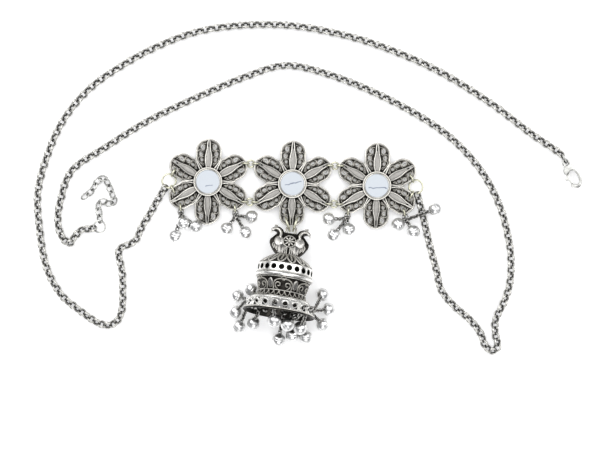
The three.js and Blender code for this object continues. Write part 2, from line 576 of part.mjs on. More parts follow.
// Balls in the flange's holes, each on the nearest hole that is still free: places from the mouth's centre
// and heights over the surface, as shares of the flange's half width
const BELL_BALLS = [
  [-0.01, -0.76, 0.00], [0.37, -0.63, 0.00], [0.75, -0.69, 0.00], [-0.71, -0.30, 0.00],
  [-1.12, -0.40, 0.00], [1.23, -0.34, 0.00], [-1.21, 0.02, 0.00], [1.39, 0.09, 0.00],
  [-1.16, 0.47, 0.00], [1.22, 0.50, 0.00], [-0.77, 0.65, 0.00], [-0.10, -0.14, 1.33],
  [0.25, -0.26, 1.16], [0.60, -0.39, 0.66],
];
const mouthCentre = vec(0, 0, BELL_LENGTH).applyMatrix4(bellFrame);
const backward = new THREE.Vector2(-FLANGE_FLARE.r * flangeRadius, FLANGE_FLARE.t * BELL_LENGTH).normalize();
const toBell = bellFrame.clone().invert();
const taken = new Set();
const holePoint = (k, out) => {
  const reach = HOLE_RING.r * flangeRadius + backward.y * out;
  const p = vec(0, reach, HOLE_RING.t * BELL_LENGTH + backward.x * out);
  return turn(p, (360 * (k + 0.5)) / FLANGE_HOLES).applyMatrix4(bellFrame);
};
const HOOK = 1.3;
const LIP_SHARE = 0.82;
const FRONT_SHARE = 1.15;
BELL_BALLS.forEach(([x, y, raised], i) => {
  const at = mouthCentre.clone().add(vec(x, y).multiplyScalar(flangeRadius));
  at.setZ(BALL_HEIGHT + raised * flangeRadius);
  const free = Array.from({ length: FLANGE_HOLES }, (_, k) => k).filter((k) => !taken.has(k));
  const away = (k) => holePoint(k, 0).distanceTo(at);
  const nearest = (best, k) => (away(k) < away(best) ? k : best);
  const hole = free.reduce(nearest);
  taken.add(hole);
  const inBell = at.clone().applyMatrix4(toBell);
  const inFront = inBell.z > BELL_LENGTH && Math.hypot(inBell.x, inBell.y) < FRONT_SHARE * flangeRadius;
  const way = inFront ? -1 : 1;
  const path = [holePoint(hole, -way * HOOK), holePoint(hole, way * HOOK)];
  if (inFront) {
    const lip = vec(0, LIP_SHARE * flangeRadius, BELL_LENGTH);
    path.push(turn(lip, (360 * (hole + 0.5)) / FLANGE_HOLES).applyMatrix4(bellFrame));
  }
  path.push(towards(at, path[path.length - 1], BALL_WIDTH / 2 - BALL_SINK));
  const label = String(i + 1).padStart(2, '0');
  add(`bell_ball_${label}`, BRIGHT, wireAlong(path, STUB_WIRE, STUB_SIDES).add(ball(at)));
});

export default group;
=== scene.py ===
"""Dresses the waist chain: flowers with mirrors, link chains, clasp, extender, balls and the bell drop."""
import logging
import math
from dataclasses import dataclass
from enum import Enum
from typing import Iterable, Sequence

import bpy
import numpy as np
from mathutils import Matrix, Vector


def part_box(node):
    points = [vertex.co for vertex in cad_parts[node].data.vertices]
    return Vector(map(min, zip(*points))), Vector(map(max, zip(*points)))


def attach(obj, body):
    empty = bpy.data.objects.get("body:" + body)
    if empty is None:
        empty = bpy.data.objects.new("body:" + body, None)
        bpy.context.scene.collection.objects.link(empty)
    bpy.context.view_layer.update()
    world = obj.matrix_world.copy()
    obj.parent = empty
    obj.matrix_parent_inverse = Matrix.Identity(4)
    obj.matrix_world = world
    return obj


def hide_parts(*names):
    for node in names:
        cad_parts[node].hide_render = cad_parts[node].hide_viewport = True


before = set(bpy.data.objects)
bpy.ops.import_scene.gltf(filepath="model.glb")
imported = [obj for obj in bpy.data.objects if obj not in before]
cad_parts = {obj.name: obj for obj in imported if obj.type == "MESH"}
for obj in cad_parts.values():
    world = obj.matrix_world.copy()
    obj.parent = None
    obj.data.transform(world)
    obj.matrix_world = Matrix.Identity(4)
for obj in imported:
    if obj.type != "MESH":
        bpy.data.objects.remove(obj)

log = logging.getLogger("waist_chain")
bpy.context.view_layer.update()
MM = 0.001
UP = Vector((0, 0, 1))
BODY = "waist_chain"
LEVER_BODY = "lever"
WELD = 0.005 * MM
EDGE_ANGLE = math.radians(40)
Point = Sequence[float]


class Slot(Enum):
    """The record's material slots."""

    OXIDISED = "oxidised_silver"
    BRIGHT = "bright_silver"
    PALE = "pale_silver"
    MIRROR = "mirror"


# Shaping helpers


def deselect() -> None:
    """Leaves nothing selected."""
    bpy.ops.object.select_all(action="DESELECT")


def only(piece: bpy.types.Object) -> bpy.types.Object:
    """Selects one object alone and makes it active.

    Args:
        piece: the object.

    Returns:
        The same object.
    """
    deselect()
    piece.select_set(True)
    bpy.context.view_layer.objects.active = piece
    return piece


def bake_place(piece: bpy.types.Object) -> bpy.types.Object:
    """Moves an object's place into its mesh and returns it."""
    piece.data.transform(piece.matrix_basis)
    piece.matrix_basis = Matrix.Identity(4)
    return piece


def join(name: str, pieces: Iterable[bpy.types.Object]) -> bpy.types.Object:
    """Joins mesh objects into one.

    Args:
        name: the joined object's name.
        pieces: the objects, each already at its place.

    Returns:
        The joined object.
    """
    pieces = [bake_place(piece) for piece in pieces]
    only(pieces[0])
    for piece in pieces:
        piece.select_set(True)
    if len(pieces) > 1:
        bpy.ops.object.join()
    joined = bpy.context.view_layer.objects.active
    joined.name = name
    joined.data.name = name
    return joined


def copies(template: bpy.types.Object, places: Iterable[Matrix]) -> list[bpy.types.Object]:
    """Copies a template, each copy with its own mesh, and removes the template.

    Args:
        template: the modelled piece, at the origin.
        places: one matrix a copy.

    Returns:
        The copies, in the order of the places.
    """
    bake_place(template)
    made = []
    for place in places:
        copy = template.copy()
        copy.data = template.data.copy()
        copy.data.transform(place)
        if place.determinant() < 0:
            copy.data.flip_normals()
        bpy.context.scene.collection.objects.link(copy)
        made.append(copy)
    bpy.data.objects.remove(template)
    return made


def torus(major: float, minor: float, around: int, section: int) -> bpy.types.Object:
    """Adds a ring round Z.

    Args:
        major: the radius to the wire's middle, in millimetres.
        minor: the wire's own radius, in millimetres.
        around: the steps round the ring.
        section: the sides of the wire.

    Returns:
        The ring, at the origin.
    """
    deselect()
    bpy.ops.mesh.primitive_torus_add(
        major_radius=major * MM, minor_radius=minor * MM, major_segments=around, minor_segments=section
    )
    bpy.ops.object.shade_smooth()
    return bpy.context.object


def bead(radius: float, segments: int, rows: int) -> bpy.types.Object:
    """Adds a smooth ball at the origin, its radius in millimetres.

    Args:
        radius: its radius, in millimetres.
        segments: the steps round it.
        rows: the rows from pole to pole.

    Returns:
        The ball.
    """
    deselect()
    bpy.ops.mesh.primitive_uv_sphere_add(segments=segments, ring_count=rows, radius=radius * MM)
    bpy.ops.object.shade_smooth()
    return bpy.context.object


def cut_with(piece: bpy.types.Object, tool: bpy.types.Object) -> None:
    """Cuts one mesh out of another.

    Args:
        piece: the mesh that is cut.
        tool: the cutter, which is removed afterwards.
    """
    only(piece)
    cutter = piece.modifiers.new("cut", "BOOLEAN")
    cutter.object = tool
    cutter.operation = "DIFFERENCE"
    cutter.solver = "EXACT"
    bpy.ops.object.modifier_apply(modifier=cutter.name)
    bpy.data.objects.remove(tool)


def add_line(curve: bpy.types.Curve, places: Sequence[Point], closed: bool = False) -> None:
    """Adds one line of straight runs to a curve, through places in metres.

    Args:
        curve: the curve.
        places: the places, in metres.
        closed: whether the line closes on itself.
    """
    spline = curve.splines.new("POLY")
    spline.points.add(len(places) - 1)
    for point, place in zip(spline.points, places):
        point.co = (*place, 1)
    spline.use_cyclic_u = closed


def mesh_of(name: str, curve: bpy.types.Curve) -> bpy.types.Object:
    """Turns a curve into a mesh object, selected alone.

    Args:
        name: the object's name.
        curve: the curve.

    Returns:
        The mesh object.
    """
    piece = bpy.data.objects.new(name, curve)
    bpy.context.scene.collection.objects.link(piece)
    only(piece)
    bpy.ops.object.convert(target="MESH")
    return bpy.context.object


def close_up(piece: bpy.types.Object) -> bpy.types.Object:
    """Merges a mesh's doubles, points its faces outwards and smooths it up to its edges.

    Args:
        piece: the mesh object.

    Returns:
        The same object.
    """
    only(piece)
    bpy.ops.object.mode_set(mode="EDIT")
    bpy.ops.mesh.select_all(action="SELECT")
    bpy.ops.mesh.remove_doubles(threshold=WELD)
    bpy.ops.mesh.normals_make_consistent(inside=False)
    bpy.ops.object.mode_set(mode="OBJECT")
    bpy.ops.object.shade_smooth_by_angle(angle=EDGE_ANGLE)
    return piece


def wires(name: str, paths: Iterable[Sequence[Point]], width: float, closed: bool = False,
          sides: int = 1) -> bpy.types.Object:
    """Makes round wires along paths.

    Args:
        name: the object's name.
        paths: the points of each wire, in millimetres.
        width: the wire's diameter, in millimetres.
        closed: whether each wire closes on itself.
        sides: the bevel resolution of the wire's section.

    Returns:
        The wires as one mesh object.
    """
    curve = bpy.data.curves.new(name, "CURVE")
    curve.dimensions = "3D"
    curve.bevel_depth = width / 2 * MM
    curve.bevel_resolution = sides
    curve.use_fill_caps = True
    for path in paths:
        add_line(curve, [Vector(place).to_3d() * MM for place in path], closed)
    piece = mesh_of(name, curve)
    bpy.ops.object.shade_smooth()
    return piece


def plate(name: str, outlines: Iterable[Sequence[Point]], low: float, high: float,
          bevel: float) -> bpy.types.Object:
    """Makes a flat plate from an outline and the outlines of its holes.

    Args:
        name: the object's name.
        outlines: closed outlines in X and Y, the outer one and its holes, in millimetres.
        low: the underside's height.
        high: the top's height.
        bevel: how far the edges are rounded.

    Returns:
        The plate as a mesh object.
    """
    curve = bpy.data.curves.new(name, "CURVE")
    curve.dimensions = "2D"
    curve.fill_mode = "BOTH"
    curve.extrude = ((high - low) / 2 - bevel) * MM
    curve.bevel_depth = bevel * MM
    curve.bevel_resolution = 1
    curve.offset = -bevel * MM
    for outline in outlines:
        add_line(curve, [(place[0] * MM, place[1] * MM, 0) for place in outline], closed=True)
    piece = mesh_of(name, curve)
    piece.data.transform(Matrix.Translation((0, 0, (low + high) / 2 * MM)))
    return close_up(piece)


def turned(name: str, profile: Sequence[Point], steps: int) -> bpy.types.Object:
    """Spins a closed profile round Z, as on a lathe.

    Args:
        name: the object's name.
        profile: radius and height of each point, in millimetres.
        steps: the number of steps round.

    Returns:
        The turned piece.
    """
    curve = bpy.data.curves.new(name, "CURVE")
    curve.dimensions = "3D"
    add_line(curve, [(radius * MM, 0, height * MM) for radius, height in profile])
    piece = mesh_of(name, curve)
    bpy.ops.object.mode_set(mode="EDIT")
    bpy.ops.mesh.select_all(action="SELECT")
    bpy.ops.mesh.spin(steps=steps, angle=2 * math.pi, center=(0, 0, 0), axis=(0, 0, 1))
    bpy.ops.object.mode_set(mode="OBJECT")
    return close_up(piece)


def smooth_line(points: Sequence[Point], spacing: float, closed: bool = False) -> list[Vector]:
    """Runs one smooth curve through points and returns evenly spaced places on it.

    Args:
        points: the chosen points, in millimetres.
        spacing: the distance between the places that are returned.
        closed: whether the curve closes on itself.

    Returns:
        The places along the curve, both ends included when it is open.
    """
    given = [Vector(p).to_3d() for p in points]
    if closed:
        given = [given[-1], *given, given[0], given[1]]
    else:
        given = [given[0] * 2 - given[1], *given, given[-1] * 2 - given[-2]]
    fine = []
    for a, b, c, d in zip(given, given[1:], given[2:], given[3:]):
        ta, tb, tc = ((q - p).length ** 0.5 or 1e-6 for p, q in ((a, b), (b, c), (c, d)))
        rise = (c - a) / (ta + tb) * tb
        fall = (d - b) / (tb + tc) * tb
        for i in range(12):
            t = i / 12
            fine.append(b * (2 * t**3 - 3 * t**2 + 1) + rise * (t**3 - 2 * t**2 + t)
                        + c * (3 * t**2 - 2 * t**3) + fall * (t**3 - t**2))
    fine.append(given[-2])
    lengths = np.concatenate([[0], np.cumsum([(q - p).length for p, q in zip(fine, fine[1:])])])
    count = max(2, round(lengths[-1] / spacing) + 1)
    stops = np.linspace(0, lengths[-1], count)[: count - 1 if closed else count]
    table = np.array(fine)
    return [Vector([np.interp(s, lengths, table[:, k]) for k in range(3)]) for s in stops]


def oval(x: float, y: float, width: float, length: float, sides: int, degrees: float = 0) -> list[Vector]:
    """Draws an oval.

    Args:
        x: the centre's X, in millimetres.
        y: the centre's Y.
        width: its size across X, before it is turned.
        length: its size across Y, before it is turned.
        sides: the number of points.
        degrees: how far it is turned.

    Returns:
        The points.
    """
    spin = Matrix.Rotation(math.radians(degrees), 3, "Z")
    return [
        Vector((x, y, 0)) + spin @ Vector((width / 2 * math.cos(a), length / 2 * math.sin(a), 0))
        for a in (2 * math.pi * (i + 0.5) / sides for i in range(sides))
    ]


def frame_of(along: Vector, side: Vector, place: Vector) -> Matrix:
    """Makes a frame.

    Args:
        along: the direction of its X.
        side: a direction near its Y.
        place: its origin, in millimetres.

    Returns:
        The frame's matrix, in metres.
    """
    along = along.normalized()
    normal = along.cross(side).normalized()
    turned_side = normal.cross(along)
    matrix = Matrix((along, turned_side, normal)).transposed().to_4x4()
    matrix.translation = place * MM
    return matrix


def links_along(points: Sequence[Vector], tilt: float) -> list[Matrix]:
    """Places for links at points, tilted one way and the other about the chain.

    Args:
        points: each link's centre, in millimetres.
        tilt: the tilt of every other link, in degrees.

    Returns:
        One matrix a link, with X along the chain.
    """
    places = []
    for i, point in enumerate(points):
        before, after = points[max(i - 1, 0)], points[min(i + 1, len(points) - 1)]
        along = (after - before).normalized()
        side = UP.cross(along) if abs(along.z) < 0.95 else Vector((1, 0, 0))
        lean = Matrix.Rotation(math.radians(tilt if i % 2 else -tilt), 3, along)
        places.append(frame_of(along, lean @ side, point))
    return places


def node_points(node: str) -> np.ndarray:
    """The corners of a node of the frame, in millimetres."""
    return np.array([v.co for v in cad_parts[node].data.vertices]) / MM


def dress(piece: bpy.types.Object, finish: "Finish | MirrorGlass", nodes: Sequence[str] = (),
          body: str = BODY) -> bpy.types.Object:
    """Gives a finished piece its material and body.

    Args:
        piece: the piece, at the origin.
        finish: what its surface is.
        nodes: the nodes of the frame that it stands for.
        body: the body that it rides on.

    Returns:
        The piece.
    """
    piece.data.materials.clear()
    piece.data.materials.append(finish.material())
    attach(piece, body)
    if nodes:
        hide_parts(*nodes)
    log.info("%s: %d faces", piece.name, len(piece.data.polygons))
    return piece


# Finishes


def add_node(tree: bpy.types.NodeTree, kind: str, feeds: dict | None = None, values: dict | None = None,
             **settings: str | int) -> bpy.types.Node:
    """Adds a shader node and wires its inputs.

    Args:
        tree: the tree that it joins.
        kind: its type, without the usual prefix.
        feeds: the socket that feeds an input, by the input's name or number.
        values: the constant of an input, by the input's name or number.
        **settings: the node's own settings.

    Returns:
        The node.
    """
    node = tree.nodes.new(f"ShaderNode{kind}")
    for name, setting in settings.items():
        setattr(node, name, setting)
    for key, value in (values or {}).items():
        node.inputs[key].default_value = value
    for key, socket in (feeds or {}).items():
        tree.links.new(socket, node.inputs[key])
    return node


class PatinaAndShade:
    """The shared effect of dark recesses, bright ridges and fine wear on silver. The dark in the recesses is
    partly the oxide in the hollows and partly painted shade: an occlusion node darkens the colour wherever
    faces are hemmed in, also near the floor and between parts.
    """

    name = "silver_patina_and_shade"
    inputs = {
        "Ridge": "Color", "Recess": "Color", "Reach": "Float", "Depth": "Float", "Scale": "Float",
        "Relief": "Float", "Mottle": "Float",
    }
    outputs = {"Colour": "Color", "Roughness": "Float", "Normal": "Vector"}

    @classmethod
    def group(cls) -> bpy.types.NodeTree:
        """Builds the node group once.

        Returns:
            The node group.
        """
        if cls.name in bpy.data.node_groups:
            return bpy.data.node_groups[cls.name]
        tree = bpy.data.node_groups.new(cls.name, "ShaderNodeTree")
        for sockets, way in ((cls.inputs, "INPUT"), (cls.outputs, "OUTPUT")):
            for socket, kind in sockets.items():
                tree.interface.new_socket(socket, in_out=way, socket_type=f"NodeSocket{kind}")
        given = tree.nodes.new("NodeGroupInput").outputs
        result = tree.nodes.new("NodeGroupOutput").inputs
        # Painted shade and oxide: the occlusion darkens the colour in hollows, near the floor and between
        # parts.
        cavity = add_node(tree, "AmbientOcclusion", {"Distance": given["Reach"]}, samples=6)
        place = add_node(tree, "TexCoord").outputs["Object"]
        mottle = add_node(tree, "TexNoise", {"Vector": place, "Scale": given["Scale"]}, {"Detail": 4})
        finer = add_node(tree, "Math", {0: given["Scale"]}, {1: 4.5}, operation="MULTIPLY")
        fine = add_node(tree, "TexNoise", {"Vector": place, "Scale": finer.outputs[0]})
        stretch = add_node(tree, "MapRange", {"Value": cavity.outputs["AO"]},
                           {"From Min": 0.35, "From Max": 0.92})
        blotch = add_node(tree, "MapRange", {"To Min": given["Mottle"], "Value": mottle.outputs["Fac"]},
                          {"From Min": 0.3, "From Max": 0.62})
        # The painted shade and oxide, times the random wear.
        wear_and_shade = add_node(tree, "Math", {0: stretch.outputs["Result"], 1: blotch.outputs["Result"]},
                        operation="MULTIPLY")
        deep = add_node(tree, "Math", {0: wear_and_shade.outputs[0], 1: given["Depth"]}, operation="POWER").outputs[0]
        tone = add_node(tree, "Mix", {"Factor": deep, "A": given["Recess"], "B": given["Ridge"]},
                        data_type="RGBA")
        rough = add_node(tree, "MapRange", {"Value": deep}, {"To Min": 0.55, "To Max": 0.24})
        bump = add_node(tree, "Bump", {"Strength": given["Relief"], "Height": fine.outputs["Fac"]},
                        {"Distance": 0.05 * MM})
        tree.links.new(tone.outputs["Result"], result["Colour"])
        tree.links.new(rough.outputs["Result"], result["Roughness"])
        tree.links.new(bump.outputs["Normal"], result["Normal"])
        return tree


@dataclass(frozen=True)
class Finish:
    """A silver finish: its colours, the reach (mm) and depth of its dark, and its fine texture. The dark is
    painted shade, and on the oxidised pieces also the oxide in the hollows: the recess colour goes where the
    occlusion falls.
    """

    name: str
    ridge: tuple[float, float, float]
    recess: tuple[float, float, float]
    reach: float
    depth: float
    scale: float
    relief: float
    mottle: float

    def material(self) -> bpy.types.Material:
        """Makes the material at its first use.

        Returns:
            The material.
        """
        if self.name in bpy.data.materials:
            return bpy.data.materials[self.name]
        made = bpy.data.materials.new(self.name)
        made.use_nodes = True
        tree = made.node_tree
        shader = tree.nodes["Principled BSDF"]
        shader.inputs["Metallic"].default_value = 1.0
        patina_and_shade = tree.nodes.new("ShaderNodeGroup")
        patina_and_shade.node_tree = PatinaAndShade.group()
        for socket, value in {
            "Ridge": (*self.ridge, 1), "Recess": (*self.recess, 1), "Reach": self.reach * MM,
            "Depth": self.depth, "Scale": self.scale, "Relief": self.relief, "Mottle": self.mottle,
        }.items():
            patina_and_shade.inputs[socket].default_value = value
        # The colour carries the painted shade and the oxide of the recesses.
        for effect, socket in (("Colour", "Base Color"), ("Roughness", "Roughness"), ("Normal", "Normal")):
            tree.links.new(patina_and_shade.outputs[effect], shader.inputs[socket])
        return made


@dataclass(frozen=True)
class MirrorGlass:
    """A flat mirror: pale, with a painted reflection across it, a faint dark band measured from the mirror's
    own centre.

    The painted reflection is a band that a noise bends; drop moves it down and reach is its half length, in
    millimetres.
    """

    name: str
    centre: Point
    turn: float
    drop: float
    reach: float
    tint: tuple[float, float, float] = (0.575, 0.615, 0.66)
    # The colour of the painted reflection, a dark band.
    painted_reflection: tuple[float, float, float] = (0.22, 0.25, 0.32)
    metallic: float = 0.25
    roughness: float = 0.14
    ripple: float = 420
    bend: float = 1.8
    half_width: float = 0.22

    def material(self) -> bpy.types.Material:
        """Makes the material at its first use.

        Returns:
            The material.
        """
        if self.name in bpy.data.materials:
            return bpy.data.materials[self.name]
        made = bpy.data.materials.new(self.name)
        made.use_nodes = True
        tree = made.node_tree
        shader = tree.nodes["Principled BSDF"]
        shader.inputs["Metallic"].default_value = self.metallic
        shader.inputs["Roughness"].default_value = self.roughness
        place = add_node(tree, "TexCoord").outputs["Object"]
        own = add_node(tree, "Mapping", {"Vector": place}, {
            "Location": (self.centre[0] * MM, self.centre[1] * MM, 0),
            "Rotation": (0, 0, math.radians(self.turn)),
        }, vector_type="TEXTURE").outputs["Vector"]
        wander = add_node(tree, "TexNoise", {"Vector": own}, {"Scale": self.ripple})
        split = add_node(tree, "SeparateXYZ", {"Vector": own})
        height = add_node(tree, "Math", {0: wander.outputs["Fac"], 2: split.outputs["Y"]},
                          {1: self.bend * MM}, operation="MULTIPLY_ADD")
        away = add_node(tree, "Math", {0: height.outputs[0]},
                        {1: (self.bend / 2 + self.drop) * MM, 2: self.half_width * MM}, operation="COMPARE")
        within = add_node(tree, "Math", {0: split.outputs["X"]}, {1: 0.4 * MM, 2: self.reach * MM},
                          operation="COMPARE")
        # The painted reflection's mask: inside the bent band and within its length.
        both = add_node(tree, "Math", {0: away.outputs[0], 1: within.outputs[0]}, operation="MULTIPLY")
        tone = add_node(tree, "Mix", {"Factor": both.outputs[0]},
                        {"A": (*self.tint, 1), "B": (*self.painted_reflection, 1)}, data_type="RGBA")
        tree.links.new(tone.outputs["Result"], shader.inputs["Base Color"])
        return made


# Each mirror's painted reflection: its turn, how far it drops and its half length.
MIRRORS = {
    "left": MirrorGlass("mirror_left_glass", (-37.79, 0.92), 4, -1.8, 1.6),
    "centre": MirrorGlass("mirror_centre_glass", (0, 0), 11, 0.1, 3.8),
    "right": MirrorGlass("mirror_right_glass", (37.79, -0.92), 0, -0.9, 4.1),
}
# Each recess colour is painted shade. On the oxidised pieces it also stands for the oxide in the hollows; on
# the balls, the rings, the extender and the clasp, which have no oxide, it is painted shade alone.
ANTIQUE = Finish("antique_silver", (0.042, 0.039, 0.034), (0.002, 0.002, 0.002), 1.4, 1.5, 900.0, 0.3, 0.45)
SATIN = Finish("satin_panel", (0.36, 0.35, 0.33), (0.04, 0.04, 0.037), 0.7, 1.0, 700.0, 0.5, 0.85)
BRIGHT_RIM = Finish("bright_silver_rim", (0.76, 0.74, 0.69), (0.02, 0.02, 0.018), 0.9, 1.2, 900.0, 0.1, 0.75)
BEZEL_SILVER = Finish("bezel_silver", (0.86, 0.84, 0.78), (0.02, 0.02, 0.018), 0.3, 1.0, 700.0, 0.1, 0.9)
BELL_BAND = Finish("bell_band_silver", (0.90, 0.89, 0.86), (0.03, 0.03, 0.027), 0.8, 0.9, 600.0, 0.15, 0.85)
SCROLL = Finish("scroll_silver", (0.56, 0.54, 0.49), (0.008, 0.008, 0.007), 0.7, 1.6, 900.0, 0.2, 0.6)
FEATHER = Finish("feathered_silver", (0.86, 0.84, 0.80), (0.012, 0.011, 0.010), 0.9, 1.1, 1250.0, 0.9, 0.3)
CHAIN_SILVER = Finish("chain_silver", (0.80, 0.79, 0.745), (0.003, 0.003, 0.002), 2.1, 3.0, 900.0, 0.2, 0.8)
BALL_SILVER = Finish("ball_silver", (0.98, 0.98, 0.97), (0.14, 0.14, 0.14), 0.9, 0.8, 330.0, 0.12, 0.5)
DARK_CURB = Finish("dark_curb_silver", (0.62, 0.61, 0.58), (0.008, 0.008, 0.007), 0.9, 1.9, 900.0, 0.2, 0.5)
PALE_WIRE = Finish("pale_wire", (0.76, 0.75, 0.60), (0.09, 0.09, 0.06), 1.2, 1.4, 700.0, 0.1, 0.85)
WHITE_SILVER = Finish("white_silver", (0.72, 0.72, 0.69), (0.02, 0.02, 0.02), 1.6, 2.0, 700.0, 0.1, 0.8)


# Sub-assemblies


@dataclass(frozen=True)
class Lamp:
    """A soft square light that shines at the middle of the piece, placed in metres."""

    place: Point
    size: float
    power: float

    def build(self) -> None:
        """Adds the light."""
        bpy.ops.object.light_add(type="AREA", location=self.place)
        light = bpy.context.object
        light.data.size = self.size
        light.data.energy = self.power
        light.rotation_euler = (-Vector(self.place)).to_track_quat("-Z", "Y").to_euler()


@dataclass
class Stage:
    """The plain pale floor, the soft lights and the overhead camera."""

    centre: Point = (3.4, -18.9)
    height: float = 650.0
    seen_width: float = 270.0
    sensor: float = 36.0
    nearest: float = 0.01
    floor_size: float = 4.0
    floor_drop: float = 0.1
    paper: Point = (0.85, 0.85, 0.85, 1)
    paper_glow: float = 0.36
    sky: Point = (0.95, 0.96, 1.0, 1)
    sky_strength: float = 0.3
    lamps: Sequence[Lamp] = (
        Lamp((-0.45, 0.5, 0.65), 0.85, 5.5), Lamp((0.65, 0.25, 0.65), 0.75, 3.5),
        Lamp((0.05, -0.75, 0.6), 0.6, 2.5), Lamp((0.03, 0.03, 0.95), 0.8, 2.4),
    )

    def camera(self) -> None:
        """Adds the camera, straight above the piece."""
        at = (self.centre[0] * MM, self.centre[1] * MM, self.height * MM)
        bpy.ops.object.camera_add(location=at, rotation=(0, 0, 0))
        camera = bpy.context.object
        camera.data.lens = self.sensor * self.height / self.seen_width
        camera.data.clip_start = self.nearest
        bpy.context.scene.camera = camera

    def floor(self) -> None:
        """Adds the floor, which glows a little so that it stays white."""
        deselect()
        bpy.ops.mesh.primitive_plane_add(size=self.floor_size, location=(0, 0, -self.floor_drop * MM))
        floor = bake_place(bpy.context.object)
        floor.name = "floor"
        paper = bpy.data.materials.new("white_paper")
        paper.use_nodes = True
        sheet = paper.node_tree.nodes["Principled BSDF"].inputs
        sheet["Base Color"].default_value = self.paper
        sheet["Roughness"].default_value = 0.9
        sheet["Emission Color"].default_value = (1, 1, 1, 1)
        sheet["Emission Strength"].default_value = self.paper_glow
        floor.data.materials.append(paper)

    def build(self) -> None:
        """Adds the camera, the floor, the lights and the world."""
        self.camera()
        self.floor()
        for lamp in self.lamps:
            lamp.build()
        world = bpy.data.worlds.new("studio")
        world.use_nodes = True
        backdrop = world.node_tree.nodes["Background"].inputs
        backdrop["Color"].default_value = self.sky
        backdrop["Strength"].default_value = self.sky_strength
        bpy.context.scene.world = world
        bpy.context.scene.view_settings.view_transform = "Standard"


